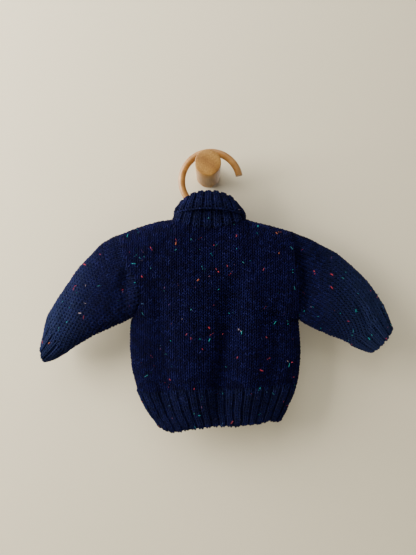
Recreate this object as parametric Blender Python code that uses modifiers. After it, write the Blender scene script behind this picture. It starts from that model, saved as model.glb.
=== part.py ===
"""Hand-knit baby cardigan hanging from a cane hanger on a round wooden wall peg.

The garment hangs with its back to the viewer, who looks along +Y, and its buttoned
fronts to the wall. Its cloth is a wall of chunky knit, open at neck, hem and cuffs.

Frame: metres, +Z up, +Y into the wall, +X to the viewer's right. The origin is the
centre of the peg's flat end on the wall, so the wall is the plane y = 0. The wearer's
left is at -X. Tables and sizes below are in millimetres.
"""
import math
from bisect import bisect
from collections import namedtuple

import bmesh
import bpy
import numpy as np

MM = 0.001

# ---- driving dimensions, in millimetres ----------------------------------------------
GARMENT_Y = -38.0        # plane of the side seams, the shoulder seams and the hanger
CLOTH = 3.0              # thickness of plain stocking stitch
SEAM = 0.3               # gap between two sewn pieces
WELT_SEAM = 0.5          # gap between a panel and its ribbed welt
ARMHOLE_SEAM = 0.6       # gap round the armholes, whose seams curve more
RIB_RISE = 1.6           # how far a knit rib stands above the purl groove
CUFF_RIB_RISE = 1.28     # the same on the cuffs, whose ribs lie closer
HEM_RIB_PITCH = 10.5     # two knit and two purl stitches, drawn in
COLLAR_RIB_PITCH = 12.3  # the same rib, stretched round the neck
BAND_RIB_PITCH = 12.0
CUFF_RIB_PITCH = 11.0

FOLD_POWER = 2.6         # roundness of the body's folded sides, 2 is an ellipse
NECK_POWER = 3.3         # the same for the neck opening
SLEEVE_POWER = 2.4       # the same for the sleeves and the armholes
UNDERARM_V = 0.55        # share of a panel's rows that lies below the underarm
WELT_V = 0.19            # share of a panel's rows that is ribbed welt
SHOULDER_ROUND = 36.0    # height over which the shoulders close over the hanger
UNDERARM_ROOM = 12.0     # height above the underarm over which growing shifts the side
NECK_CORNER = 0.4        # openness of the neck below which the shoulder seam closes
NECK_GROW = 0.6          # how much the neck's corners move with the thickness of the cloth

NECK_X, NECK_HALF = 1.5, 47.0           # middle and half width of the neck opening
NECK_SIDE_Z = -66.0                     # height of the neckline at its two sides
NECK_DIP = {"back": 12.0, "front": 36.0}

BAND_WIDTH = 26.0
UNDER_GAP = 0.6                         # between the button band and what lies over it
BAND_TOP_X, BAND_HEM_X = 1.5, 9.0       # middle of the front bands at the neck and the hem
BAND_LAP = 4.0                          # how far the button band reaches under its front
EDGE_STITCH = 1.0                       # width over which a band's ribs round off at its edges
UNDER_BAND_ROWS = 14
BUTTONS = 5
BUTTON_RADIUS, BUTTON_THICK = 7.5, 3.2
FIRST_BUTTON_V, LAST_BUTTON_V = 0.07, 0.95   # their rows on the buttonhole band

PEG_RADIUS, PEG_LENGTH = 16.2, 69.0
CANE_RADIUS = 4.55
HOOK_RADIUS = 37.6                      # centre line of the round hook
HOOK_X, HOOK_Z = 3.5, -16.2             # centre of the round hook
HOOK_END, HOOK_FOOT = 11, 250           # degrees round it of its free end and of its foot
HOOK_STEPS, FOOT_STEPS = 31, 3
FOOT_BEND = 10.0                        # radius of the bend down to the bar
BAR_STEPS = 26
BAR_HALF, BAR_TOP_Z = 128.0, -67.4      # half length and middle height of the bar
BAR_DROP, BAR_AT, BAR_POWER = 12.6, 62.0, 1.4

# ---- outlines, in millimetres: (height z, edge x) upwards, then (x, height z) ---------
BODY_EDGE = {
    "left": ((-334, -64), (-326, -69), (-316, -77), (-303, -84), (-288, -90.8),
             (-272, -95.4), (-256, -98.8), (-241, -100.4), (-225, -101.2), (-210, -101),
             (-194, -98.5), (-180, -89.5), (-162, -85.8), (-146, -90.4), (-128, -101),
             (-103, -109), (-85.5, -113.4)),
    "right": ((-325, 95), (-316, 100), (-303, 105.8), (-288, 112.3), (-272, 116.6),
              (-256, 118.6), (-241, 119.6), (-225, 119.4), (-210, 118.2), (-195.5, 117.2),
              (-167, 116), (-137, 113.5), (-106, 109), (-81.5, 105.8)),
}
UNDERARM_Z = {"left": -194.0, "right": -195.5}
HEM_LINE = ((-64, -334), (-57, -336.5), (-45, -338.4), (-27, -334.8), (-9, -332), (11.5, -330),
            (30, -329.8), (48, -328), (66, -327), (79, -324), (89.5, -326.5), (95, -325))
SHOULDER_LINE = ((-113.4, -85.5), (-91, -76.5), (-62.4, -68.3), (-45.5, NECK_SIDE_Z),
                 (48.5, NECK_SIDE_Z), (61, -69.3), (92.3, -77.1), (105.8, -81.5))

# Half depth of the body, from the garment's plane to the back and to the fronts.
Depth = namedtuple("Depth", "z back front")
BODY_DEPTH = (Depth(-343, 15, 13), Depth(-318, 16, 14), Depth(-285, 21, 16),
              Depth(-225, 22, 16.5), Depth(-150, 20, 15.5), Depth(-66, 17, 15.5))
ARM_DEPTH = {"back": 16.0, "front": 14.0}

# One row for each section of a sleeve, from the armhole to the hand: its upper and
# lower edge, its half depth towards the viewer and the wall, and the share of the
# armhole's own curve that it keeps.
Section = namedtuple("Section", "up_x up_z low_x low_z back front bow")
SLEEVE = {
    "left": (
        Section(-113.4, -85.5, -98.5, -194.0, 16.0, 14.0, 1.0),
        Section(-126, -90, -107.5, -198, 17.0, 14.0, 0.75),
        Section(-140, -98.8, -118, -202.8, 17.5, 14.0, 0.5),
        Section(-155, -113.8, -130, -208.4, 17.0, 14.0, 0.25),
        Section(-170, -129.8, -143, -214.2, 16.5, 14.0, 0.1),
        Section(-183, -148.8, -156, -221, 16.5, 14.0, 0.0),
        Section(-196.5, -169, -169, -229, 17.0, 15.0, 0.0),
        Section(-208.5, -189.5, -181.5, -236.9, 17.5, 15.5, 0.0),
    ),
    "right": (
        Section(105.8, -81.5, 117.2, -195.5, 16.0, 14.0, 1.0),
        Section(119, -86.6, 125, -200.8, 16.0, 14.0, 0.8),
        Section(133, -92, 134.5, -205.4, 16.0, 14.0, 0.6),
        Section(148.2, -100, 145, -210.8, 16.0, 14.0, 0.3),
        Section(165, -108.6, 155.5, -215.2, 16.0, 14.0, 0.1),
        Section(184, -124, 165.5, -219.2, 15.5, 14.0, 0.0),
        Section(207, -146.4, 175.5, -223, 15.0, 14.0, 0.0),
        Section(226.8, -174.5, 185, -228, 14.5, 13.5, 0.0),
    ),
}
CUFF = {
    "left": (
        Section(-208.2, -190.3, -182.1, -237.3, 17.3, 15.3, 0.0),
        Section(-212, -207, -195.5, -245, 16.5, 15.0, 0.0),
        Section(-214.4, -223.6, -207.6, -249.8, 16.5, 15.5, 0.0),
    ),
    "right": (
        Section(226.6, -175.4, 185.6, -228.3, 14.3, 13.3, 0.0),
        Section(233.4, -191.5, 197.8, -233.6, 13.5, 13.0, 0.0),
        Section(239, -207.5, 209.6, -238, 13.5, 13.0, 0.0),
    ),
}

# One row for each large fold of the back: a line from its top to its foot, its half
# width, and how far the cloth sinks there; a ridge sinks less than nothing.
Fold = namedtuple("Fold", "top_x top_z foot_x foot_z width sink")
BACK_FOLDS = (
    Fold(33, -125, 14, -315, 12, 4.2),
    Fold(-66, -115, -53, -318, 11, 2.6),
    Fold(-20, -105, -26, -300, 15, -1.4),
    Fold(62, -120, 58, -300, 14, -1.3),
    Fold(88, -150, 84, -300, 10, 1.6),
)
FRONT_FOLDS = (
    Fold(-58, -120, -46, -315, 12, 2.4),
    Fold(60, -120, 52, -315, 13, 2.8),
)
FOLDS = {"back": BACK_FOLDS, "front": FRONT_FOLDS}
FOLD_FADE = 0.25         # share of a fold's length over which each of its ends dies away

# The collar: rings of its stand's foot, of its fold and of its free edge.
Ring = namedtuple("Ring", "x half back front z_back z_front z_left z_right")
COLLAR_TOP = Ring(1.5, 33.5, 12.0, 11.5, -36.3, -37.0, -47.0, -49.0)
COLLAR_EDGE = Ring(2.7, 45.4, 22.5, 20.5, -54.5, -60.0, -58.5, -62.0)
COLLAR_CLOTH = 2.6
COLLAR_RISE = 1.1
COLLAR_FOLD_WIDE, COLLAR_FOLD_TIGHT = 3.0, 1.7   # radius at the back, and at the sides
CORNER_LIFT = 0.6        # more room where the neckline turns at the shoulder seams
COLLAR_END_GAP = 2.0                             # half the opening at the centre front
COLLAR_SIDE_POWER = 2.6  # how late the collar's rings turn down to their sides
STAND_BOW, FALL_BOW = 1.5, 1.2                   # how far its two layers belly outwards
CORNER_POWER = 8

# Rows of the collar's stand from its foot to its fold, with the share of its height and
# how much of the rib shows on its outer face; then the rows round the fold and down.
Stand = namedtuple("Stand", "share rise")
STAND_ROWS = (Stand(0.0, 1.0), Stand(0.22, 1.0), Stand(0.5, 0.4), Stand(0.8, 0.0), Stand(1.0, 0.0))
FOLD_DEGREES = (45, 90, 135, 180)
FALL_SHARES = (0.35, 0.7, 1.0)

# Within one rib's pitch: where the edge of a groove or a ridge lies, and its height.
Step = namedtuple("Step", "share rise")
RIB_STEPS = (Step(0.0, 0.0), Step(0.14, 1.0), Step(0.5, 1.0), Step(0.64, 0.0))

BACK_SIDE_COLUMNS = 7     # columns of faces beside the neck, each side
BACK_NECK_COLUMNS = 10
FRONT_NECK_COLUMNS = 5
WELT_ROWS = (0.0, 0.45, 0.85, 1.0)        # shares of the welt's height
LOWER_ROWS = 5            # rows of faces from the welt to the underarm
ARM_ROWS = 9              # rows of faces from the underarm to the shoulder

# ---- colours (linear), roughness ------------------------------------------------------
NAVY = (0.0035, 0.0060, 0.0270, 1.0)
CANE = (0.400, 0.205, 0.085, 1.0)
BEECH = (0.330, 0.180, 0.070, 1.0)
HORN = (0.012, 0.016, 0.045, 1.0)


# ---- small tools ----------------------------------------------------------------------
def lerp(a, b, share):
    return a + (b - a) * share


def clamp(value, low=0.0, high=1.0):
    return max(low, min(high, value))


def smooth(rows, at):
    """The value at `at` of a soft curve through (place, value) rows that climb in place."""
    places = [row[0] for row in rows]
    values = [row[1] for row in rows]
    last = len(rows) - 1
    at = clamp(at, places[0], places[last])
    i = min(max(bisect(places, at) - 1, 0), last - 1)

    def slope(k):
        before = (values[k] - values[k - 1]) / (places[k] - places[k - 1]) if k > 0 else None
        after = (values[k + 1] - values[k]) / (places[k + 1] - places[k]) if k < last else None
        if before is None or after is None:
            return after if before is None else before
        if before * after <= 0:
            return 0.0
        return 2 * before * after / (before + after)

    span = places[i + 1] - places[i]
    s = (at - places[i]) / span
    return ((2 * s**3 - 3 * s**2 + 1) * values[i] + (s**3 - 2 * s**2 + s) * span * slope(i)
            + (3 * s**2 - 2 * s**3) * values[i + 1] + (s**3 - s**2) * span * slope(i + 1))


def bulge(share, power):
    """Height of a rounded section: 0 at share -1 and 1, and 1 in the middle."""
    return (1 - min(abs(share), 1.0) ** power) ** (1 / power)


def even_places(curve, length_share):
    """Parameters of curve(0..1) at the given shares of its length."""
    params = np.linspace(0, 1, 241)
    points = np.array([curve(t) for t in params])
    run = np.concatenate([[0], np.cumsum(np.linalg.norm(np.diff(points, axis=0), axis=1))])
    return np.interp(np.asarray(length_share) * run[-1], run, params), run[-1]


def rib_columns(length, pitch):
    """(share of length, rise) at each edge of the ribs along a strip of this length."""
    ribs = max(1, round(length / pitch))
    columns = [((rib + step.share) / ribs, step.rise) for rib in range(ribs) for step in RIB_STEPS]
    return columns + [(1.0, 0.0)]


# ---- the form of the body ---------------------------------------------------------------
def neck_openness(x, grow=0.0):
    """1 across the middle of the neck opening, falling to 0 at its two sides."""
    return bulge((x - NECK_X) / (NECK_HALF + grow), NECK_POWER)


def top_height(face, x):
    """Height of a panel's top edge: the shoulder seam, and the neckline between."""
    across = min(abs(x - NECK_X) / NECK_HALF, 1.0)
    return smooth(SHOULDER_LINE, x) - NECK_DIP[face] * (1 - across**2)


def edge_height(side, v, grow=0.0):
    """Height of row v at a side seam or armhole; `grow` widens the armhole."""
    hem, underarm, top = BODY_EDGE[side][0][0], UNDERARM_Z[side], BODY_EDGE[side][-1][0]
    if v < UNDERARM_V:
        return lerp(hem, underarm, v / UNDERARM_V)
    return lerp(underarm - grow, top + grow, (v - UNDERARM_V) / (1 - UNDERARM_V))


def armhole_bulge(side, z, grow=0.0):
    """Share of its half depth that the armhole has at height z; 0 outside it."""
    low, top = UNDERARM_Z[side] - grow, BODY_EDGE[side][-1][0] + grow
    if not low < z < top:
        return 0.0
    return bulge(2 * (z - low) / (top - low) - 1, SLEEVE_POWER)


def fold_sink(face, x, z):
    """How far the large folds press the cloth in at one place."""
    sink = 0.0
    for fold in FOLDS[face]:
        share = (z - fold.top_z) / (fold.foot_z - fold.top_z)
        ends = clamp(share / FOLD_FADE) * clamp((1 - share) / FOLD_FADE)
        away = (x - lerp(fold.top_x, fold.foot_x, share)) / fold.width
        sink += fold.sink * ends * ends * (3 - 2 * ends) * math.exp(-away * away)
    return sink


def row_ends(v):
    """The left and right x of row v."""
    return [smooth(BODY_EDGE[side], edge_height(side, v)) for side in ("left", "right")]


def body_point(face, u, v, grow=0.0):
    """A point of the back or the front: u from -1 to 1 across, v from hem to shoulder.

    `grow` moves it out of the cloth's outer surface, or into the body if negative.
    """
    across = (u + 1) / 2
    hem_x, top_x = lerp(*row_ends(0), across), lerp(*row_ends(1), across)
    top = top_height(face, top_x)
    closed = 1 - clamp(neck_openness(top_x) / NECK_CORNER)
    z = lerp(smooth(HEM_LINE, hem_x), top, v)
    upper = max(0.0, v - UNDERARM_V) / (1 - UNDERARM_V)
    z += grow * closed * upper
    x = lerp(*row_ends(v), across)
    depth_at_edge = 0.0
    for side, share, outward in (("left", 1 - across, -1), ("right", across, 1)):
        edge = BODY_EDGE[side]
        plain_z, edge_z = edge_height(side, v), edge_height(side, v, grow)
        near = clamp(2 * share - 1)
        z += share * (plain_z - lerp(edge[0][0], edge[-1][0], v))
        if v < 1:
            z += near**2 * (edge_z - plain_z - grow * closed * upper)
        room = clamp(1 - (edge_z - UNDERARM_Z[side]) / UNDERARM_ROOM)
        shift = smooth(edge, edge_z) - smooth(edge, plain_z) + outward * grow * room
        x += near**3 * shift
        depth_at_edge += share * (ARM_DEPTH[face] + grow) * armhole_bulge(side, edge_z, grow)
    depth = smooth([(row.z, getattr(row, face)) for row in BODY_DEPTH], z) + grow
    from_top = clamp((top + grow * closed - z) / SHOULDER_ROUND)
    openness = neck_openness(top_x, grow * NECK_GROW)
    depth *= openness + (1 - openness) * math.sqrt(1 - (1 - from_top) ** 2)
    side_bulge = bulge(u, FOLD_POWER)
    depth = depth_at_edge + (depth - depth_at_edge) * side_bulge
    depth = max(depth - fold_sink(face, x, z) * side_bulge, SEAM / 2)
    return x, GARMENT_Y + (depth if face == "front" else -depth), z


def band_middle(v):
    return lerp(BAND_HEM_X, BAND_TOP_X, v)


def share_across(x, v):
    """The u of a place x in row v."""
    left, right = row_ends(v)
    return 2 * (x - left) / (right - left) - 1


def neck_corner(side):
    """The u where the neckline meets the shoulder seam."""
    return share_across(NECK_X + (NECK_HALF if side == "right" else -NECK_HALF), 1.0)


def side_columns(corner, count):
    """u from a side seam to the neck's corner, closer together where the cloth turns."""
    edge = math.copysign(1.0, corner)
    return [edge + (corner - edge) * (1 - math.cos(math.pi / 2 * i / count)) for i in range(count)]


def columns_between(first, last, count):
    return [lerp(first, last, i / count) for i in range(count + 1)]


def front_end(side, v):
    """The u where a front meets the button band."""
    reach = BAND_WIDTH / 2 + SEAM
    return share_across(band_middle(v) + (reach if side == "right" else -reach), v)


def panel_rows():
    lower = [lerp(WELT_V, UNDERARM_V, i / LOWER_ROWS) for i in range(LOWER_ROWS)]
    upper = [lerp(UNDERARM_V, 1.0, (1 - math.cos(math.pi * i / ARM_ROWS)) / 2)
             for i in range(ARM_ROWS + 1)]
    return lower + upper


# ---- meshes -------------------------------------------------------------------------------
def material(name, colour, roughness):
    made = bpy.data.materials.new(name)
    made.use_nodes = True
    shader = made.node_tree.nodes["Principled BSDF"]
    shader.inputs["Base Color"].default_value = colour
    shader.inputs["Roughness"].default_value = roughness
    made.diffuse_color = colour
    return made


def add_object(name, mesh, finish, collection):
    mesh.materials.clear()
    mesh.materials.append(finish)
    made = bpy.data.objects.new(name, mesh)
    collection.objects.link(made)
    return made


def wall(name, outer, inner, ring, finish, collection):
    """A closed wall of cloth between two grids of points, rows of columns, in mm.

    With `ring` the columns go all the way round; otherwise the wall has plain edges
    at its first and last column too.
    """
    rows, columns = len(outer), len(outer[0])
    mesh = bpy.data.meshes.new(name)
    form = bmesh.new()
    skins = [[[form.verts.new([c * MM for c in point]) for point in row] for row in grid]
             for grid in (outer, inner)]
    across = columns if ring else columns - 1
    for skin in skins:
        for r in range(rows - 1):
            for c in range(across):
                n = (c + 1) % columns
                form.faces.new((skin[r][c], skin[r][n], skin[r + 1][n], skin[r + 1][c]))
    out, back = skins
    for r in (0, rows - 1):
        for c in range(across):
            n = (c + 1) % columns
            form.faces.new((out[r][c], out[r][n], back[r][n], back[r][c]))
    if not ring:
        for c in (0, columns - 1):
            for r in range(rows - 1):
                form.faces.new((out[r][c], out[r + 1][c], back[r + 1][c], back[r][c]))
    bmesh.ops.recalc_face_normals(form, faces=form.faces)
    form.to_mesh(mesh)
    form.free()
    return add_object(name, mesh, finish, collection)


def body_wall(name, face, columns_of_row, rows, finish, collection, rise=None):
    """A panel of the body, from its rows of u, with ribs where `rise` gives heights."""
    outer, inner = [], []
    for v in rows:
        columns = columns_of_row(v)
        heights = rise or [0.0] * len(columns)
        outer.append([body_point(face, u, v, h) for u, h in zip(columns, heights)])
        inner.append([body_point(face, u, v, -CLOTH) for u in columns])
    return wall(name, outer, inner, False, finish, collection)


def welt_v(z_gap):
    """The row where a welt ends, a seam's gap under the panel."""
    return WELT_V - z_gap / (edge_height("left", 1) - edge_height("left", 0))


def welt(name, face, first, last, finish, collection):
    """The ribbed foot of a panel, between two functions of v that give its end columns."""
    middle = WELT_V / 2

    def section(t):
        u = -math.cos(math.pi * lerp(arc(first(middle)), arc(last(middle)), t))
        return body_point(face, u, middle)[:2]

    def arc(u):
        return math.acos(clamp(-u, -1, 1)) / math.pi

    _, length = even_places(section, [0, 1])
    ribs = rib_columns(length, HEM_RIB_PITCH)
    places, _ = even_places(section, [share for share, _ in ribs])

    def columns(v):
        return [-math.cos(math.pi * lerp(arc(first(v)), arc(last(v)), t)) for t in places]

    rise = [RIB_RISE * height for _, height in ribs]
    rows = [welt_v(WELT_SEAM) * share for share in WELT_ROWS]
    return body_wall(name, face, columns, rows, finish, collection, rise)


def make_body(finish, collection):
    left_corner, right_corner = neck_corner("left"), neck_corner("right")
    left_side = side_columns(left_corner, BACK_SIDE_COLUMNS)
    right_side = side_columns(right_corner, BACK_SIDE_COLUMNS)[::-1]

    def back_columns(_):
        inside = columns_between(left_corner, right_corner, BACK_NECK_COLUMNS)
        return left_side + inside + right_side

    def left_columns(v):
        return left_side + columns_between(left_corner, front_end("left", v), FRONT_NECK_COLUMNS)

    def right_columns(v):
        return columns_between(front_end("right", v), right_corner, FRONT_NECK_COLUMNS) + right_side

    rows = panel_rows()
    body_wall("back", "back", back_columns, rows, finish, collection)
    body_wall("left_front", "front", left_columns, rows, finish, collection)
    body_wall("right_front", "front", right_columns, rows, finish, collection)
    welt("back_welt", "back", lambda v: -1.0, lambda v: 1.0, finish, collection)
    welt("left_front_welt", "front", lambda v: -1.0, lambda v: front_end("left", v),
         finish, collection)
    welt("right_front_welt", "front", lambda v: front_end("right", v), lambda v: 1.0,
         finish, collection)


# ---- bands and buttons ------------------------------------------------------------------
def band_point(x_off, v, out):
    """A point of the front at x_off from the bands' middle, moved out towards the wall."""
    x, y, z = body_point("front", share_across(band_middle(v) + x_off, v), v)
    return x, y + out, z


def make_bands(finish, collection):
    """The buttonhole band closes the gap between the fronts; the other lies inside it."""
    half = BAND_WIDTH / 2
    length = edge_height("right", 1) - edge_height("right", 0)
    ribs = rib_columns(length, BAND_RIB_PITCH)
    offsets = [-half, EDGE_STITCH - half, half - EDGE_STITCH, half]
    outer = [[band_point(x, v, RIB_RISE * rise) for x in offsets] for v, rise in ribs]
    inner = [[band_point(x, v, -CLOTH) for x in offsets] for v, _ in ribs]
    wall("buttonhole_band", outer, inner, False, finish, collection)
    offsets = [-half, 0.0, half, half + BAND_LAP]
    rows = columns_between(0.0, 1.0, UNDER_BAND_ROWS)
    outer = [[band_point(x, v, -CLOTH - UNDER_GAP) for x in offsets] for v in rows]
    inner = [[band_point(x, v, -2 * CLOTH - UNDER_GAP) for x in offsets] for v in rows]
    wall("button_band", outer, inner, False, finish, collection)


def button_places():
    """(x, y, z) in mm of each button's back, evenly up the buttonhole band."""
    return [band_point(0.0, lerp(FIRST_BUTTON_V, LAST_BUTTON_V, i / (BUTTONS - 1)), RIB_RISE + SEAM)
            for i in range(BUTTONS)]


def make_buttons(finish, collection):
    """A turned disc with a raised rim; one mesh serves all the buttons."""
    r, t = BUTTON_RADIUS, BUTTON_THICK
    profile = ((0.0, t * 0.6), (r * 0.62, t * 0.6), (r * 0.78, t), (r * 0.94, t * 0.9),
               (r, t * 0.5), (r * 0.9, 0.0), (0.0, 0.0))
    mesh = bpy.data.meshes.new("button")
    mesh.from_pydata([(x * MM, 0, z * MM) for x, z in profile],
                     [(i, i + 1) for i in range(len(profile) - 1)], [])
    for number, place in enumerate(button_places(), 1):
        button = add_object(f"button_{number}", mesh, finish, collection)
        screw = button.modifiers.new("turn", "SCREW")
        screw.steps = screw.render_steps = 18
        screw.use_merge_vertices = True
        screw.merge_threshold = 0.00001
        screw.use_normal_calculate = True
        button.location = [c * MM for c in place]
        button.rotation_euler = (-math.pi / 2, 0, 0)


# ---- sleeves and cuffs ------------------------------------------------------------------
def sleeve_point(side, section, angle, grow=0.0):
    """A point of a sleeve's ring: angle 0 is its upper edge, pi its lower edge.

    From 0 to pi the ring runs over the viewer's side, and back over the wall's side.
    """
    along = math.cos(angle)
    share = (1 - math.copysign(abs(along) ** (2 / SLEEVE_POWER), along)) / 2
    dx, dz = section.low_x - section.up_x, section.low_z - section.up_z
    length = math.hypot(dx, dz)
    start, end = -grow / length, 1 + grow / length
    share = lerp(start, end, share)
    x, z = section.up_x + dx * share, section.up_z + dz * share
    first = SLEEVE[side][0]
    armhole_z = lerp(first.up_z, first.low_z, share)
    armhole_x = lerp(first.up_x, first.low_x, share)
    x += section.bow * (smooth(BODY_EDGE[side], armhole_z) - armhole_x)
    depth = (section.back if angle < math.pi else section.front) + grow
    lift = abs(math.sin(angle)) ** (2 / SLEEVE_POWER) * depth
    return x, GARMENT_Y + (-lift if angle < math.pi else lift), z


def armhole_angles():
    """Ring angles whose heights are those of the body's rows, so that the seam fits."""
    angles = []
    for i in range(ARM_ROWS + 1):
        share = math.cos(math.pi * i / ARM_ROWS)
        angles.append(math.acos(math.copysign(abs(share) ** (SLEEVE_POWER / 2), share)))
    return angles + [2 * math.pi - a for a in angles[-2:0:-1]]


def make_sleeve(side, finish, collection):
    angles = armhole_angles()
    outward = -1 if side == "left" else 1
    outer, inner = [], []
    for section in SLEEVE[side]:
        seam = outward * ARMHOLE_SEAM if section.bow == 1.0 else 0.0
        for grid, grow in ((outer, 0.0), (inner, -CLOTH)):
            ring = [sleeve_point(side, section, angle, grow) for angle in angles]
            grid.append([(x + seam, y, z) for x, y, z in ring])
    wall(f"{side}_sleeve", outer, inner, True, finish, collection)


def make_cuff(side, finish, collection):
    middle = CUFF[side][1]
    length_of = even_places(lambda t: sleeve_point(side, middle, 2 * math.pi * t), [0, 1])[1]
    ribs = rib_columns(length_of, CUFF_RIB_PITCH)[:-1]
    outer, inner = [], []
    for section in CUFF[side]:
        places, _ = even_places(lambda t: sleeve_point(side, section, 2 * math.pi * t),
                                [share for share, _ in ribs])
        outer.append([sleeve_point(side, section, 2 * math.pi * t, CUFF_RIB_RISE * rise)
                      for t, (_, rise) in zip(places, ribs)])
        inner.append([sleeve_point(side, section, 2 * math.pi * t, -CLOTH) for t in places])
    wall(f"{side}_cuff", outer, inner, True, finish, collection)


# ---- the collar ---------------------------------------------------------------------------
def ring_point(ring, turn):
    """A point of a collar ring: turn 0 is the centre back, +-pi the centre front."""
    sine, cosine = math.sin(turn), math.cos(turn)
    depth = ring.back if cosine > 0 else ring.front
    z_middle = ring.z_back if cosine > 0 else ring.z_front
    z_side = ring.z_right if sine > 0 else ring.z_left
    z = lerp(z_middle, z_side, abs(sine) ** COLLAR_SIDE_POWER)
    return np.array([ring.x + ring.half * sine, GARMENT_Y - depth * cosine, z])


def neckline_z(x, face, stations):
    """Height of the neckline as the body's columns draw it, in straight steps."""
    return float(np.interp(x, stations, [top_height(face, s) for s in stations]))


def collar_foot(turn):
    """Middle of the collar's cloth where it is sewn to the neckline."""
    sine, cosine = math.sin(turn), math.cos(turn)
    face = "back" if cosine > 0 else "front"
    depth = smooth([(row.z, getattr(row, face)) for row in BODY_DEPTH], top_height(face, NECK_X))
    inset = COLLAR_CLOTH / 2
    power = 2 / NECK_POWER
    x = NECK_X + (NECK_HALF - inset) * math.copysign(abs(sine) ** power, sine)
    y = GARMENT_Y - (depth - inset) * math.copysign(abs(cosine) ** power, cosine)
    return np.array([x, y, top_height(face, x)])


def collar_section(turn):
    """(point, outward rise of its outer face, of its inner face) from foot to free edge."""
    sine, cosine = math.sin(turn), math.cos(turn)
    foot, top, edge = collar_foot(turn), ring_point(COLLAR_TOP, turn), ring_point(COLLAR_EDGE, turn)
    outward = np.array([sine * COLLAR_TOP.back, -cosine * COLLAR_TOP.half, 0.0])
    outward /= np.linalg.norm(outward)
    radius = lerp(COLLAR_FOLD_TIGHT, COLLAR_FOLD_WIDE, abs(cosine))
    rows = []
    for share, rise in STAND_ROWS:
        bow = outward * STAND_BOW * math.sin(math.pi * share)
        rows.append((lerp(foot, top, share) + bow, rise, 0.0))
    for degrees in FOLD_DEGREES:
        angle = math.radians(degrees)
        step = outward * radius * (1 - math.cos(angle))
        rows.append((top + step + np.array([0, 0, radius * math.sin(angle)]), 0.0, 1.0))
    turned = top + outward * 2 * radius
    for share in FALL_SHARES:
        bow = outward * FALL_BOW * math.sin(math.pi * share)
        rows.append((lerp(turned, edge, share) + bow, 0.0, 1.0))
    return rows


def make_collar(finish, collection):
    end = math.pi - math.asin(COLLAR_END_GAP / NECK_HALF)

    def foot(t):
        return collar_foot(lerp(-end, end, t))

    _, length = even_places(foot, [0, 1])
    ribs = rib_columns(length, COLLAR_RIB_PITCH)
    places, _ = even_places(foot, [share for share, _ in ribs])
    turns = [lerp(-end, end, t) for t in places]
    sections = [collar_section(turn) for turn in turns]
    middle = np.array([[row[0] for row in section] for section in sections]).transpose(1, 0, 2)
    along = np.gradient(middle, axis=0)
    round_it = np.gradient(middle, axis=1)
    normal = np.cross(round_it, along)
    normal[0, :, 2] = 0.0
    normal /= np.linalg.norm(normal, axis=2, keepdims=True)
    stations = {face: neck_stations(face) for face in ("back", "front")}
    outer, inner = [], []
    for r in range(middle.shape[0]):
        for grid, way, column in ((outer, 1, 1), (inner, -1, 2)):
            line = []
            for c, (_, rib) in enumerate(ribs):
                thick = COLLAR_CLOTH / 2 + COLLAR_RISE * rib * sections[c][r][column]
                point = middle[r, c] + way * thick * normal[r, c]
                if r == 0:
                    face = "back" if math.cos(turns[c]) > 0 else "front"
                    lift = SEAM + CORNER_LIFT * abs(math.sin(turns[c])) ** CORNER_POWER
                    point[2] = neckline_z(point[0], face, stations[face]) + lift
                line.append(tuple(point))
            grid.append(line)
    wall("collar", outer, inner, False, finish, collection)


def neck_stations(face):
    """The x of the columns of the back, or of the two fronts, along their top edges."""
    left_corner, right_corner = neck_corner("left"), neck_corner("right")
    if face == "back":
        inside = columns_between(left_corner, right_corner, BACK_NECK_COLUMNS)
    else:
        inside = (columns_between(left_corner, front_end("left", 1.0), FRONT_NECK_COLUMNS)
                  + columns_between(front_end("right", 1.0), right_corner, FRONT_NECK_COLUMNS))
    left_side = side_columns(left_corner, BACK_SIDE_COLUMNS)
    right_side = side_columns(right_corner, BACK_SIDE_COLUMNS)[::-1]
    left, right = row_ends(1.0)
    return [lerp(left, right, (u + 1) / 2) for u in left_side + inside + right_side]


# ---- hanger and peg -----------------------------------------------------------------------
def rod(name, points, radius, finish, collection):
    """A round rod along a line of points, in mm, with flat ends."""
    curve = bpy.data.curves.new(name, "CURVE")
    curve.dimensions = "3D"
    curve.bevel_depth = radius * MM
    curve.bevel_resolution = 3
    curve.use_fill_caps = True
    spline = curve.splines.new("POLY")
    spline.points.add(len(points) - 1)
    for target, point in zip(spline.points, points):
        target.co = (*[c * MM for c in point], 1.0)
    made = bpy.data.objects.new(name, curve)
    curve.materials.append(finish)
    collection.objects.link(made)
    return made


def bar_height(x):
    return BAR_TOP_Z - BAR_DROP * (abs(x) / BAR_AT) ** BAR_POWER


def make_hanger(finish, collection):
    """The cane bar under the shoulders, and the round hook that rises from its middle."""
    xs = columns_between(-BAR_HALF, BAR_HALF, BAR_STEPS)
    rod("hanger_bar", [(x, GARMENT_Y, bar_height(x)) for x in xs], CANE_RADIUS, finish, collection)
    line = [(HOOK_X + HOOK_RADIUS * math.cos(math.radians(d)), GARMENT_Y,
             HOOK_Z + HOOK_RADIUS * math.sin(math.radians(d)))
            for d in np.linspace(HOOK_END, HOOK_FOOT, HOOK_STEPS)]
    x, _, z = line[-1]
    heading, down = math.radians(HOOK_FOOT + 90 - 360), math.radians(-90)
    for i in range(1, FOOT_STEPS + 1):
        turned = lerp(heading, down, i / FOOT_STEPS)
        line.append((x + FOOT_BEND * (math.sin(heading) - math.sin(turned)), GARMENT_Y,
                     z + FOOT_BEND * (math.cos(turned) - math.cos(heading))))
    x = line[-1][0]
    line.append((x, GARMENT_Y, bar_height(x) + CANE_RADIUS + SEAM))
    rod("hanger_hook", line, CANE_RADIUS, finish, collection)


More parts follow.
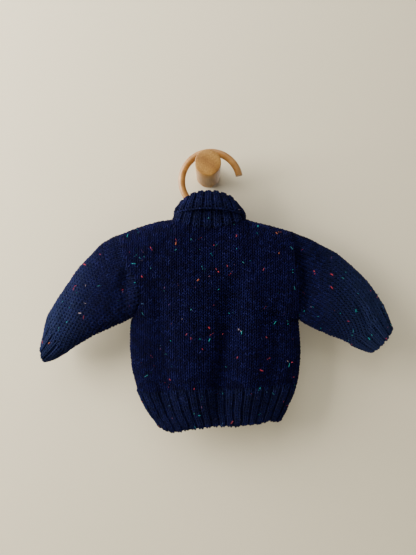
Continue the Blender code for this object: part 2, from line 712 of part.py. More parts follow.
def make_peg(finish, collection):
    mesh = bpy.data.meshes.new("wall_peg")
    form = bmesh.new()
    bmesh.ops.create_cone(form, cap_ends=True, segments=36, radius1=PEG_RADIUS * MM,
                          radius2=PEG_RADIUS * MM, depth=PEG_LENGTH * MM)
    form.to_mesh(mesh)
    form.free()
    peg = add_object("wall_peg", mesh, finish, collection)
    peg.location = (0, -PEG_LENGTH / 2 * MM, 0)
    peg.rotation_euler = (math.pi / 2, 0, 0)
    bevel = peg.modifiers.new("soft rim", "BEVEL")
    bevel.width = 0.8 * MM
    bevel.segments = 2


def main():
    for old in list(bpy.data.objects):
        bpy.data.objects.remove(old)
    collection = bpy.data.collections.new("baby_cardigan_on_hanger")
    bpy.context.scene.collection.children.link(collection)
    wool = material("navy tweed wool, stocking stitch", NAVY, 0.95)
    rib = material("navy tweed wool, ribbing", NAVY, 0.95)
    cane = material("cane", CANE, 0.45)
    beech = material("beech", BEECH, 0.5)
    horn = material("horn button", HORN, 0.35)
    make_body(wool, collection)
    make_bands(rib, collection)
    make_buttons(horn, collection)
    for side in ("left", "right"):
        make_sleeve(side, wool, collection)
        make_cuff(side, rib, collection)
    make_collar(rib, collection)
    make_hanger(cane, collection)
    make_peg(beech, collection)


main()
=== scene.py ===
"""The looks of a hand-knit baby cardigan that hangs from a cane hanger on a wooden wall peg.

The cloth is a set of thin shells on the form of the solids, and every stitch on them is
a piece of yarn: the two legs of a knit stitch, or the bump of a purl stitch, laid out by
one node tree that also strews the coloured neps of the tweed. Tables and sizes are in
millimetres. +Z is up, +Y runs into the wall, and the wearer's left is at -X.
"""

import math
import random
from bisect import bisect
from collections import namedtuple
from itertools import product

import bmesh
import bpy
import numpy as np
from mathutils import Matrix, Vector


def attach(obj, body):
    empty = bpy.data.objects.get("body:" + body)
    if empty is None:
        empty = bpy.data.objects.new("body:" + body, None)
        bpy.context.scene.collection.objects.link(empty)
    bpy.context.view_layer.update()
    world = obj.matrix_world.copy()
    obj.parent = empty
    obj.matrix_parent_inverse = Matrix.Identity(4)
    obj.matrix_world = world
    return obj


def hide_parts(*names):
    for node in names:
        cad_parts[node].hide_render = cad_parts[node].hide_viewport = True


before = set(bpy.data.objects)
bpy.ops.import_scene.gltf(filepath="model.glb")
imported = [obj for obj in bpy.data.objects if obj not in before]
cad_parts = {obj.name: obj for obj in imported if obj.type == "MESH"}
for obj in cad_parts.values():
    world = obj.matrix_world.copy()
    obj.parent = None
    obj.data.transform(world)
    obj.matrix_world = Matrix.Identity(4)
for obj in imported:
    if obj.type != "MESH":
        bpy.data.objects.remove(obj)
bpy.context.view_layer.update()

MM = 0.001
BODY = "root"

# ---- the form of the garment, as its solids have it, in millimetres ------------------
GARMENT_Y = -38.0                         # plane of the side seams, the shoulder seams and the hanger
SIDES = {"left": -1, "right": 1}          # the way out of each side, along X
SEAM = 0.3
WELT_SEAM, ARMHOLE_SEAM = 0.5, 0.6
RIB_RISE, CUFF_RIB_RISE, COLLAR_RISE = 1.6, 1.28, 1.1
HEM_RIB_PITCH, COLLAR_RIB_PITCH, BAND_RIB_PITCH, CUFF_RIB_PITCH = 10.5, 12.3, 12.0, 11.0
RIB_MEAN, RIB_SPREAD = 0.78, 0.32         # height of the ridges as shares of the rise
RIB_WAVES = (2.4, 1.1)                    # radians a rib, of the waves that vary that height
FOLD_POWER, NECK_POWER, SLEEVE_POWER = 2.1, 3.3, 2.1
UNDERARM_V, WELT_V = 0.55, 0.19
SHOULDER_ROUND = 36.0
SLEEVE_TURN = {"left": 0.14, "right": 0.04}  # a sleeve's upper edge leans to the wall
SLEEVE_BELLY = 0.28                       # how much more a sleeve stands out near its lower edge
UNDERARM_ROOM = 12.0
ARMHOLE_GAP_END = 0.125                   # share of a sleeve where the gap of its seam has closed
RING_STEPS = 40                           # rings that a sleeve or a cuff is worked out on
RING_SAMPLES, FOOT_SAMPLES = 73, 1201     # points on a sleeve's ring and a collar's line
PANEL_LEVELS, PANEL_SAMPLES = 33, 61      # lines across a panel, and the points on each
WIDTH_MEASURED_AT = 0.4                   # share of a panel's height
HEIGHT_MEASURED_AT = 0.22                 # share of a panel's width
NECK_CORNER, NECK_GROW = 0.4, 0.6
NECK_X, NECK_HALF, NECK_SIDE_Z = 1.5, 47.0, -66.0
NECK_DIP = {"back": 12.0, "front": 36.0}
BAND_WIDTH, UNDER_GAP, BAND_LAP = 26.0, 0.6, 4.0
BAND_TOP_X, BAND_HEM_X = 1.5, 9.0
CLOTH_IN_BAND = 3.0
UNDER_THIN = 0.6                          # thickness of the button band by that of the other cloth
BUTTONS, BUTTON_RADIUS, BUTTON_THICK = 5, 7.5, 3.2
FIRST_BUTTON_V, LAST_BUTTON_V = 0.07, 0.95
BUTTON_HOLE_AT, BUTTON_HOLE_RADIUS = 1.9, 0.75
# Half the section of a button from the middle of its front, in shares of radius and thickness.
BUTTON_PROFILE = ((0, 0.62), (0.55, 0.6), (0.66, 0.66), (0.76, 0.94), (0.84, 1), (0.93, 0.92),
                  (0.985, 0.7), (1, 0.45), (0.96, 0.15), (0.88, 0), (0, 0))
THREAD_RADIUS = 0.42
THREAD_FOOT, THREAD_TOP, THREAD_CROSSING = 0.2, 0.45, 0.35  # the top is over the front's middle
PEG_RADIUS, PEG_LENGTH, PEG_RIM = 16.2, 69.0, 1.1
CANE_RADIUS = 4.55
HOOK_RADIUS, HOOK_X, HOOK_Z = 37.6, 3.5, -16.2
HOOK_END, HOOK_FOOT = 11, 250             # degrees round the hook, from +X
FOOT_BEND = 10.0
BAR_HALF, BAR_TOP_Z = 128.0, -67.4
BAR_DROP, BAR_AT, BAR_POWER = 12.6, 62.0, 1.4

# Outlines: (height z, edge x) upwards, then (x, height z) from left to right.
BODY_EDGE = {
    "left": ((-334, -64), (-326, -69), (-316, -77), (-303, -84), (-288, -90.8),
             (-272, -95.4), (-256, -98.8), (-241, -100.4), (-225, -101.2), (-210, -101),
             (-194, -98.5), (-180, -89.5), (-162, -85.8), (-146, -90.4), (-128, -101),
             (-103, -109), (-85.5, -113.4)),
    "right": ((-325, 95), (-316, 100), (-303, 105.8), (-288, 112.3), (-272, 116.6),
              (-256, 118.6), (-241, 119.6), (-225, 119.4), (-210, 118.2), (-195.5, 117.2),
              (-167, 116), (-137, 113.5), (-106, 109), (-81.5, 105.8)),
}
UNDERARM_Z = {"left": -194.0, "right": -195.5}
HEM_LINE = ((-64, -334), (-57, -336.5), (-45, -338.4), (-27, -334.8), (-9, -332), (11.5, -330),
            (30, -329.8), (48, -328), (66, -327), (79, -324), (89.5, -326.5), (95, -325))
SHOULDER_LINE = ((-113.4, -85.5), (-91, -76.5), (-62.4, -68.3), (-45.5, NECK_SIDE_Z),
                 (48.5, NECK_SIDE_Z), (61, -69.3), (92.3, -77.1), (105.8, -81.5))

Depth = namedtuple("Depth", "z back front")
BODY_DEPTH = (Depth(-343, 15, 13), Depth(-318, 16, 14), Depth(-285, 21, 16),
              Depth(-225, 22, 16.5), Depth(-150, 20, 15.5), Depth(-66, 17, 15.5))
ARM_DEPTH = {"back": 16.0, "front": 14.0}

Section = namedtuple("Section", "up_x up_z low_x low_z back front bow")
SLEEVE = {
    "left": (
        Section(-113.4, -85.5, -98.5, -194.0, 16.0, 14.0, 1.0),
        Section(-126, -90, -107.5, -198, 17.0, 14.0, 0.75),
        Section(-140, -98.8, -118, -202.8, 17.5, 14.0, 0.5),
        Section(-155, -113.8, -130, -208.4, 17.0, 14.0, 0.25),
        Section(-170, -129.8, -143, -214.2, 16.5, 14.0, 0.1),
        Section(-183, -148.8, -156, -221, 16.5, 14.0, 0.0),
        Section(-196.5, -169, -169, -229, 17.0, 15.0, 0.0),
        Section(-208.5, -189.5, -181.5, -236.9, 17.5, 15.5, 0.0),
    ),
    "right": (
        Section(105.8, -81.5, 117.2, -195.5, 16.0, 14.0, 1.0),
        Section(119, -86.6, 125, -200.8, 16.0, 14.0, 0.8),
        Section(133, -92, 134.5, -205.4, 16.0, 14.0, 0.6),
        Section(148.2, -100, 145, -210.8, 16.0, 14.0, 0.3),
        Section(165, -108.6, 155.5, -215.2, 16.0, 14.0, 0.1),
        Section(184, -124, 165.5, -219.2, 15.5, 14.0, 0.0),
        Section(207, -146.4, 175.5, -223, 15.0, 14.0, 0.0),
        Section(226.8, -174.5, 185, -228, 14.5, 13.5, 0.0),
    ),
}
CUFF = {
    "left": (
        Section(-208.2, -190.3, -182.1, -237.3, 17.3, 15.3, 0.0),
        Section(-212, -207, -195.5, -245, 16.5, 15.0, 0.0),
        Section(-214.4, -223.6, -207.6, -249.8, 16.5, 15.5, 0.0),
    ),
    "right": (
        Section(226.6, -175.4, 185.6, -228.3, 14.3, 13.3, 0.0),
        Section(233.4, -191.5, 197.8, -233.6, 13.5, 13.0, 0.0),
        Section(239, -207.5, 209.6, -238, 13.5, 13.0, 0.0),
    ),
}
Ring = namedtuple("Ring", "x half back front z_back z_front z_left z_right")
COLLAR_TOP = Ring(1.5, 33.5, 12.0, 11.5, -36.3, -37.0, -47.0, -49.0)
COLLAR_EDGE = Ring(2.7, 45.4, 22.5, 20.5, -54.5, -60.0, -58.5, -62.0)
COLLAR_CLOTH = 2.6
COLLAR_FOLD_WIDE, COLLAR_FOLD_TIGHT = 3.0, 1.7
COLLAR_TUCK = 1.8                         # how far its foot sinks behind the seam of the neck
COLLAR_END_GAP = 2.0
COLLAR_SIDE_POWER = 2.6
STAND_BOW, FALL_BOW = 1.5, 1.2
STAND_SHARE, FOLD_SHARE = 0.46, 0.62      # where the fold of the collar begins and ends
LENGTH_MEASURED_AT = 0.8                  # share of the collar's height
COLLAR_TURN = math.pi - math.asin(COLLAR_END_GAP / NECK_HALF)
TINY = 0.002                              # a small share of a surface, to find its slope

# ---- creases, one row each: a line from its top to its foot, its half width, and how
# far the cloth sinks there. A ridge sinks less than nothing. --------------------------
Crease = namedtuple("Crease", "top_x top_z foot_x foot_z width sink")
CREASE_FADE, CREASE_REACH = 0.25, 3       # share of its length, and half widths
CREASES = {
    "back": (
        Crease(33, -118, 13, -352, 17, 6.5), Crease(24, -170, 10, -352, 8, 2.0),
        Crease(-66, -115, -50, -345, 12, 4.0), Crease(-79, -200, -56, -345, 7, 1.2),
        Crease(-24, -110, -22, -330, 15, -1.8), Crease(60, -120, 52, -330, 12, -2.0),
        Crease(90, -150, 82, -330, 9, 2.4), Crease(100, -230, 88, -330, 6, -1.0),
        Crease(0, -62, 6, -150, 26, 1.6), Crease(44, -84, 66, -140, 8, 1.2),
        Crease(-48, -84, -72, -128, 8, 1.2),
    ),
    "front": (
        Crease(-58, -120, -46, -315, 12, 2.4), Crease(60, -120, 52, -315, 13, 2.8),
        Crease(-84, -165, -72, -300, 7, 1.2), Crease(88, -180, 80, -300, 8, 1.0),
    ),
    "left_sleeve": (
        Crease(-103, -122, -106, -196, 8, 3.6), Crease(-112, -140, -122, -196, 9, 2.0),
        Crease(-150, -120, -176, -196, 9, -1.2), Crease(-172, -150, -186, -214, 7, 1.6),
        Crease(-196, -178, -206, -226, 5, 1.4),
    ),
    "right_sleeve": (
        Crease(116, -92, 126, -198, 8, 6.0), Crease(128, -104, 138, -200, 11, 4.0),
        Crease(176, -132, 214, -196, 7, -1.2), Crease(188, -168, 206, -212, 5, 2.0),
        Crease(206, -168, 226, -198, 4, 1.4),
    ),
    "left_sleeve_front": (
        Crease(-110, -128, -114, -196, 9, 3.0), Crease(-156, -128, -176, -200, 8, 1.5),
    ),
    "right_sleeve_front": (
        Crease(120, -110, 128, -198, 9, 3.2), Crease(176, -140, 190, -208, 7, 1.4),
    ),
}

# ---- the knitting, in millimetres ----------------------------------------------------
STITCH_WIDTH, ROW_HEIGHT = 5.8, 4.06      # 17 stitches and 25 rows in 100 mm
WIDEST, HIGHEST = 7.0, 5.6                # no stitch is stretched past these
YARN_DEPTH = 4.6                          # of a stitch, from its hidden ends to its front
SHELL_OUT, SHELL_IN = -1.2, -2.9          # faces of the thin shell under the stitches
STITCH_LIFT = -1.1                        # height of a stitch's middle over the solid's face
WALE_LINE_X = 3.0                         # the back's wales stand upright beside this line
GATHER_V = 0.33                           # below this the ribbing draws the wales together
EDGE_OVERHANG, EDGE_INSET = 0.15, 0.25    # in wales: a last stitch past its edge, laid inside it
EDGE_WALE_ROOM = 0.3                      # in wales, beside the lower edge of a sleeve
SEAM_ROW_WIDE, SEAM_ROW_HIGH = 1.1, 1.25  # the purl row along the neck's seam, in stitches
SEAM_ROW_INSET = 1.5
SLEEVE_SLACK, CUFF_SLACK = 1.12, 1.25     # length of the cloth by that of its middle line
# Steps of the shells: across and along a panel or a sleeve, and elsewhere for a rib and
# for the height.
BACK_MESH, FRONT_MESH, SLEEVE_MESH = (84, 72), (44, 64), (72, 46)
WELT_MESH, COLLAR_MESH, OUTER_BAND_MESH, UNDER_BAND_MESH = (8, 14), (7, 40), (8, 8), (3, 8)
# Two-by-two rib: places across a rib are shares of its pitch.
RIB_ROW_HEIGHT, COLLAR_ROW_HEIGHT = 4.3, 3.8
RIB_WALES, RIB_WALE_WIDTH = (0.15, 0.49), 0.37  # the two knit wales
PURL_MIDDLE, PURL_WIDTH, PURL_HIGH = 0.82, 0.42, 1.3
PURL_SINK = 0.9                           # how much lower than the knit wales the purl bumps lie
RIB_UP, RIB_FLAT_FROM, RIB_FLAT_TO, RIB_DOWN = -0.10, 0.10, 0.54, 0.74
RIB_STITCHES = 3                          # loops on the edge for each rib
RIB_DRAW, BAND_DRAW = 1.25, 1.2           # width of the ribbing laid flat by its drawn-in width
EDGE_LOOP_HIGH, EDGE_LOOP_SINK = 0.11, 0.4
# Rows of rib, from and to a share of the cloth's height.
STAND_ROWS, FALL_ROWS = (0.0, 0.40), (0.12, 0.985)
OUTER_BAND_ROWS, UNDER_BAND_ROWS = (0.02, 0.98), (0.84, 0.99)
COLLAR_FOOT = -0.035                      # the shell's foot, in the seam of the neck

KNIT, PURL, NEP = 0, 1, 2
# The yarn's middle line in shares of a stitch's size: start, its pull, the end's pull, end.
KNIT_LEG = ((0.08, -0.86, -0.26), (0.12, -0.42, 0.30), (0.40, 0.10, 0.36), (0.39, 0.74, -0.22))
PURL_BUMP = ((-0.55, -0.12, -0.2), (-0.30, 0.26, 0.3), (0.30, 0.26, 0.3), (0.55, -0.12, -0.2))
NEP_LINE = ((0.0, -0.5, -0.1), (0.16, -0.2, 0.12), (-0.16, 0.2, 0.12), (0.0, 0.5, -0.1))
NEP_SHARE = 0.065                         # neps for each stitch
LOOSE_NEPS, CROSS_NEPS = 0.10, 0.18       # shares that stand off the cloth or lie across it
NEP_LENGTH, NEP_WIDTH, NEP_FLATNESS = (1.6, 4.6), (1.9, 3.1), 0.7
NEP_SHORTNESS = 2.2                       # the higher, the more of the neps are short
NEP_LEAN, NEP_LEAN_SPREAD = 0.45, 0.35    # radians off the wale, with the leg of the yarn
NEP_RISE, NEP_ASIDE = (0.5, 1.5), 0.25    # off the stitch's middle, the latter in its widths

# ---- colours -------------------------------------------------------------------------
WOOL_PLACES = (0.12, 0.42, 0.66, 0.92)
WOOL_BLUES = ("#020210", "#030324", "#0A0B42", "#3C4272")
# darker blues for the shell under the stitches: painted shade between the stitches
SHADED_LINING_BLUES = ("#02020F", "#03041F", "#060838", "#141A44")
# the first is a pale blue mixed into the wool as painted highlight: towards the ends of the sleeves,
# and a little all over the ribbed parts
PAINTED_HIGHLIGHT_BLUE, WOOL_SHEEN = "#2E3C66", "#6478B8"
NEP_COLOURS = ((0.0, "#B02C40"), (0.13, "#7A2036"), (0.33, "#0A8794"), (0.47, "#0B5A6C"),
               (0.68, "#857A8A"), (0.75, "#8C4A30"), (0.82, "#4B2C55"), (0.92, "#20406E"))
HORN_COLOURS = ((0.30, "#10131C"), (0.55, "#232838"), (0.75, "#4A4A52"))
CANE_COLOURS = ((0.25, "#7A5023"), (0.5, "#956A36"), (0.78, "#AF8853"))
BEECH_COLOURS = ((0.3, "#6E4718"), (0.52, "#876026"), (0.75, "#9C773A"))

# ---- the room, in metres, and its camera ---------------------------------------------
CAMERA_AT = (0.0, -0.579, -0.1414)
FOCAL_PX, IMAGE_HEIGHT_PX, SENSOR = 416.0, 555.0, 36.0
FLOOR_Z, FLOOR_HALF = -1.15, 4
WALL_GAP, WALL_HALF, WALL_TOP = 0.0005, 3, 3


# ---- small tools ---------------------------------------------------------------------
def lerp(a, b, share):
    return a + (b - a) * share


def clamp(value, low=0.0, high=1.0):
    return max(low, min(high, value))


def ease(share):
    share = clamp(share)
    return share * share * (3 - 2 * share)


def smooth(rows, at):
    """The value at `at` of a soft curve through (place, value) rows that climb in place."""
    places = [row[0] for row in rows]
    values = [row[1] for row in rows]
    last = len(rows) - 1
    at = clamp(at, places[0], places[last])
    i = min(max(bisect(places, at) - 1, 0), last - 1)

    def slope(k):
        before = (values[k] - values[k - 1]) / (places[k] - places[k - 1]) if k > 0 else None
        after = (values[k + 1] - values[k]) / (places[k + 1] - places[k]) if k < last else None
        if before is None or after is None:
            return after if before is None else before
        if before * after <= 0:
            return 0.0
        return 2 * before * after / (before + after)

    span = places[i + 1] - places[i]
    s = (at - places[i]) / span
    return ((2 * s**3 - 3 * s**2 + 1) * values[i] + (s**3 - 2 * s**2 + s) * span * slope(i)
            + (3 * s**2 - 2 * s**3) * values[i + 1] + (s**3 - s**2) * span * slope(i + 1))


def bulge(share, power):
    return (1 - min(abs(share), 1.0) ** power) ** (1 / power)


def run_along(points):
    """How far along their line each of the points lies."""
    steps = np.linalg.norm(np.diff(points, axis=0), axis=1)
    return np.concatenate([[0], np.cumsum(steps)])


def even_share(curve, samples=121):
    """A function from a share of the curve's length to the curve's own 0..1, and the length."""
    params = np.linspace(0, 1, samples)
    run = run_along(np.array([curve(t) for t in params]))
    return (lambda share: float(np.interp(share * run[-1], run, params))), run[-1]


def rib_rise(share):
    """Height of the rib, about 0 to 1, at a place counted in ribs; no two ribs are alike."""
    number = math.floor(share - RIB_UP)
    share -= number
    quick, slow = RIB_WAVES
    height = RIB_MEAN + RIB_SPREAD * math.sin(quick * number) * math.cos(slow * number + 0.6)
    up = ease((share - RIB_UP) / (RIB_FLAT_FROM - RIB_UP))
    return height * up * (1 - ease((share - RIB_FLAT_TO) / (RIB_DOWN - RIB_FLAT_TO)))


# ---- the form of the body ------------------------------------------------------------
def neck_openness(x, grow=0.0):
    return bulge((x - NECK_X) / (NECK_HALF + grow), NECK_POWER)


def top_height(face, x):
    across = min(abs(x - NECK_X) / NECK_HALF, 1.0)
    return smooth(SHOULDER_LINE, x) - NECK_DIP[face] * (1 - across**2)


def edge_height(side, v, grow=0.0):
    hem, underarm, top = BODY_EDGE[side][0][0], UNDERARM_Z[side], BODY_EDGE[side][-1][0]
    if v < UNDERARM_V:
        return lerp(hem, underarm, v / UNDERARM_V)
    return lerp(underarm - grow, top + grow, (v - UNDERARM_V) / (1 - UNDERARM_V))


def armhole_bulge(side, z, grow=0.0):
    low, top = UNDERARM_Z[side] - grow, BODY_EDGE[side][-1][0] + grow
    if not low < z < top:
        return 0.0
    return bulge(2 * (z - low) / (top - low) - 1, SLEEVE_POWER)


def crease_sink(table, x, z):
    sink = 0.0
    for line in CREASES[table]:
        share = (z - line.top_z) / (line.foot_z - line.top_z)
        ends = ease(share / CREASE_FADE) * ease((1 - share) / CREASE_FADE)
        away = (x - lerp(line.top_x, line.foot_x, share)) / line.width
        if ends and abs(away) < CREASE_REACH:
            sink += line.sink * ends * math.exp(-away * away)
    return sink


def row_ends(v):
    return [smooth(BODY_EDGE[side], edge_height(side, v)) for side in ("left", "right")]


def body_point(face, u, v, grow=0.0):
    """A point of the back or the front: u from -1 to 1 across, v from hem to shoulder."""
    across = (u + 1) / 2
    hem_x, top_x = lerp(*row_ends(0), across), lerp(*row_ends(1), across)
    top = top_height(face, top_x)
    closed = 1 - clamp(neck_openness(top_x) / NECK_CORNER)
    z = lerp(smooth(HEM_LINE, hem_x), top, v)
    upper = max(0.0, v - UNDERARM_V) / (1 - UNDERARM_V)
    z += grow * closed * upper
    x = lerp(*row_ends(v), across)
    depth_at_edge = 0.0
    for side, share, outward in (("left", 1 - across, -1), ("right", across, 1)):
        edge = BODY_EDGE[side]
        plain_z, edge_z = edge_height(side, v), edge_height(side, v, grow)
        near = clamp(2 * share - 1)
        z += share * (plain_z - lerp(edge[0][0], edge[-1][0], v))
        if v < 1:
            z += near**2 * (edge_z - plain_z - grow * closed * upper)
        room = clamp(1 - (edge_z - UNDERARM_Z[side]) / UNDERARM_ROOM)
        shift = smooth(edge, edge_z) - smooth(edge, plain_z) + outward * grow * room
        x += near**3 * shift
        depth_at_edge += share * (ARM_DEPTH[face] + grow) * armhole_bulge(side, edge_z, grow)
    depth = smooth([(row.z, getattr(row, face)) for row in BODY_DEPTH], z) + grow
    from_top = clamp((top + grow * closed - z) / SHOULDER_ROUND)
    openness = neck_openness(top_x, grow * NECK_GROW)
    depth *= openness + (1 - openness) * math.sqrt(1 - (1 - from_top) ** 2)
    side_bulge = bulge(u, FOLD_POWER)
    depth = depth_at_edge + (depth - depth_at_edge) * side_bulge
    depth = max(depth - crease_sink(face, x, z) * side_bulge, SEAM / 2)
    return x, GARMENT_Y + (depth if face == "front" else -depth), z


def band_middle(v):
    return lerp(BAND_HEM_X, BAND_TOP_X, v)


def share_across(x, v):
    left, right = row_ends(v)
    return 2 * (x - left) / (right - left) - 1


def front_end(side, v):
    reach = BAND_WIDTH / 2 + SEAM
    return share_across(band_middle(v) + SIDES[side] * reach, v)


Cut = namedtuple("Cut", "face first last outward")
CUTS = {
    "back": Cut("back", lambda v: -1.0, lambda v: 1.0, 1),
    "left_front": Cut("front", lambda v: -1.0, lambda v: front_end("left", v), -1),
    "right_front": Cut("front", lambda v: front_end("right", v), lambda v: 1.0, -1),
}


def turn_of(u):
    """A place across the body as a share of the half turn from its left to its right."""
    return math.acos(clamp(-u, -1, 1)) / math.pi


def panel(cut, v_low, v_high, ribs=0):
    """A panel's place(a, b, grow), a over the share of its width and b of its height, with
    its width and height."""
    def across(t, v, grow=0.0):
        u = -math.cos(math.pi * lerp(turn_of(cut.first(v)), turn_of(cut.last(v)), t))
        return body_point(cut.face, u, v, grow)

    measured_v = lerp(v_low, v_high, WIDTH_MEASURED_AT)
    width_share, width = even_share(lambda t: across(t, measured_v))
    high_share, height = even_share(lambda t: across(HEIGHT_MEASURED_AT, lerp(v_low, v_high, t)))

    def place(a, b, grow=0.0):
        if ribs:
            grow += RIB_RISE * rib_rise(a * ribs)
        return across(width_share(a), lerp(v_low, v_high, high_share(b)), grow)

    return place, width, height


def upright_wales(cut, v_low, v_high):
    """A panel's place(k, b, grow) with k counted in wales from an upright line: the middle
    of the back, or the edge of a front beside its band. Also reach(b), which gives the
    first and last k at b, and the panel's height."""
    place, _, height = panel(cut, v_low, v_high)
    levels, steps = np.linspace(0, 1, PANEL_LEVELS), np.linspace(0, 1, PANEL_SAMPLES)
    runs = []
    for b in levels:
        points = np.array([place(t, b) for t in steps])
        run = run_along(points)
        if cut.face == "back":
            start = np.interp(WALE_LINE_X, points[:, 0], run)
        else:
            start = run[-1] if points[-1, 0] < BAND_WIDTH else 0.0
        runs.append(run - start)
    gather = (GATHER_V - v_low) / (v_high - v_low)
    full = np.ptp(runs[int(np.searchsorted(levels, gather))])

    def row(b):
        near = clamp(b) * (len(levels) - 1)
        low = min(int(near), len(levels) - 2)
        run = lerp(runs[low], runs[low + 1], near - low)
        return run, STITCH_WIDTH * (np.ptp(run) / full if b < gather else 1.0)

    def wale_place(k, b, grow=0.0):
        run, wide = row(b)
        return place(float(np.interp(k * wide, run, steps)), b, grow)

    def reach(b):
        run, wide = row(b)
        return run[0] / wide, run[-1] / wide

    return wale_place, reach, height


# ---- the form of the sleeves ---------------------------------------------------------
def sleeve_point(side, section, angle, grow=0.0):
    """A point of a sleeve's ring: angle 0 is its upper edge, pi its lower edge."""
    along = math.cos(angle)
    share = (1 - math.copysign(abs(along) ** (2 / SLEEVE_POWER), along)) / 2
    dx, dz = section.low_x - section.up_x, section.low_z - section.up_z
    length = math.hypot(dx, dz)
    share = lerp(-grow / length, 1 + grow / length, share)
    x, z = section.up_x + dx * share, section.up_z + dz * share
    first = SLEEVE[side][0]
    armhole_z = lerp(first.up_z, first.low_z, share)
    armhole_x = lerp(first.up_x, first.low_x, share)
    x += section.bow * (smooth(BODY_EDGE[side], armhole_z) - armhole_x)
    over = math.sin(angle) >= 0
    depth = (section.back if over else section.front) * (1 - SLEEVE_BELLY * along) + grow
    sink = crease_sink(f"{side}_sleeve" if over else f"{side}_sleeve_front", x, z)
    lift = abs(math.sin(angle)) ** (2 / SLEEVE_POWER) * max(depth - sink, 1.0)
    turned_out = SLEEVE_TURN[side] * (1 - section.bow) * (0.5 - share) * length
    return x, GARMENT_Y + turned_out + (-lift if over else lift), z


def sections_along(sections):
    """A function from a share of a sleeve's length to its section there, and the length."""
    run = run_along([((s.up_x + s.low_x) / 2, (s.up_z + s.low_z) / 2) for s in sections])
    columns = [list(zip(run, values)) for values in zip(*sections)]

    def section(share):
        return Section(*[smooth(column, share * run[-1]) for column in columns])

    return section, run[-1]


def ring_turn(side, section):
    """A function from a share of a ring's way round to its angle, and the ring's length."""
    share, length = even_share(lambda t: sleeve_point(side, section, 2 * math.pi * t),
                               RING_SAMPLES)
    return (lambda a: 2 * math.pi * share(a)), length


def tube(side, sections, ribs=0, gap=0.0):
    """A sleeve's or cuff's place(a, b, grow), a round it and b from its armhole end down,
    with its length and the girth of each of its rings."""
    section, length = sections_along(sections)
    rings = [ring_turn(side, section(i / RING_STEPS)) for i in range(RING_STEPS + 1)]

    def place(a, b, grow=0.0):
        if ribs:
            grow += CUFF_RIB_RISE * rib_rise(a * ribs)
        near = clamp(b) * RING_STEPS
        low = min(int(near), RING_STEPS - 1)
        angle = lerp(rings[low][0](a % 1.0), rings[low + 1][0](a % 1.0), near - low)
        x, y, z = sleeve_point(side, section(clamp(b)), angle, grow)
        return x + SIDES[side] * gap * (1 - clamp(b / ARMHOLE_GAP_END)), y, z

    return place, length, [girth for _, girth in rings]


# ---- the form of the collar ----------------------------------------------------------
def ring_point(ring, turn):
    sine, cosine = math.sin(turn), math.cos(turn)
    depth = ring.back if cosine > 0 else ring.front
    z_middle = ring.z_back if cosine > 0 else ring.z_front
    z_side = ring.z_right if sine > 0 else ring.z_left
    z = lerp(z_middle, z_side, abs(sine) ** COLLAR_SIDE_POWER)
    return np.array([ring.x + ring.half * sine, GARMENT_Y - depth * cosine, z])


def collar_foot(turn):
    sine, cosine = math.sin(turn), math.cos(turn)
    face = "back" if cosine > 0 else "front"
    depth = smooth([(row.z, getattr(row, face)) for row in BODY_DEPTH], top_height(face, NECK_X))
    inset = COLLAR_CLOTH / 2
    power = 2 / NECK_POWER
    x = NECK_X + (NECK_HALF - inset) * math.copysign(abs(sine) ** power, sine)
    y = GARMENT_Y - (depth - inset) * math.copysign(abs(cosine) ** power, cosine)
    return np.array([x, y, top_height(face, x)])


def even_line(line):
    """A function from a share of the way round a collar line to its point."""
    points = np.array([line(lerp(-COLLAR_TURN, COLLAR_TURN, t))
                       for t in np.linspace(0, 1, FOOT_SAMPLES)])
    run = run_along(points)
    return lambda a: np.array([np.interp(a * run[-1], run, column) for column in points.T])


def even_turn(line):
    """A function from a share of the way round a collar line to its turn."""
    share, _ = even_share(lambda t: line(lerp(-COLLAR_TURN, COLLAR_TURN, t)))
    return lambda a: lerp(-COLLAR_TURN, COLLAR_TURN, share(a))


FOOT_LINE = even_line(collar_foot)
TOP_TURN = even_turn(lambda turn: ring_point(COLLAR_TOP, turn))
EDGE_TURN = even_turn(lambda turn: ring_point(COLLAR_EDGE, turn))


def collar_middle(a, b):
    """The middle of the collar's cloth, a round it and b from its foot to its free edge."""
    turn = TOP_TURN(a)
    top = ring_point(COLLAR_TOP, turn)
    outward = np.array([math.sin(turn) * COLLAR_TOP.back, -math.cos(turn) * COLLAR_TOP.half, 0])
    outward /= np.linalg.norm(outward)
    radius = lerp(COLLAR_FOLD_TIGHT, COLLAR_FOLD_WIDE, abs(math.cos(turn)))
    if b < STAND_SHARE:
        share = b / STAND_SHARE
        foot = FOOT_LINE(a) + np.array([0, 0, SEAM])
        return lerp(foot, top, share) + outward * STAND_BOW * math.sin(math.pi * share)
    if b < FOLD_SHARE:
        angle = math.pi * (b - STAND_SHARE) / (FOLD_SHARE - STAND_SHARE)
        step = outward * radius * (1 - math.cos(angle))
        return top + step + np.array([0, 0, radius * math.sin(angle)])
    share = (b - FOLD_SHARE) / (1 - FOLD_SHARE)
    turned_over, edge = top + outward * 2 * radius, ring_point(COLLAR_EDGE, EDGE_TURN(a))
    return lerp(turned_over, edge, share) + outward * FALL_BOW * math.sin(math.pi * share)


def collar(side, ribs):
    """The collar's place(a, b, grow), with its length and height, on the side that is outer
    (1) or inner (-1) when it stands; the inner side shows once the collar is folded over."""
    def on_cloth(a, b, thick):
        up = collar_middle(a, min(b + TINY, 1.0)) - collar_middle(a, b - TINY)
        low, high = max(a - TINY, 0.0), min(a + TINY, 1.0)
        normal = np.cross(collar_middle(high, b) - collar_middle(low, b), up)
        return collar_middle(a, b) + side * thick * normal / np.linalg.norm(normal)

    even_b, height = even_share(lambda t: on_cloth(0.5, t, COLLAR_CLOTH / 2))
    _, length = even_share(lambda t: collar_middle(t, LENGTH_MEASURED_AT))

    def place(a, b, grow=0.0):
        rise = COLLAR_RISE * rib_rise(a * ribs) if b >= 0 else -side * COLLAR_TUCK
        thick = COLLAR_CLOTH / 2 + grow + rise
        return tuple(on_cloth(clamp(a), min(b, 0.0) or even_b(min(b, 1.0)), thick))

    return place, length, height


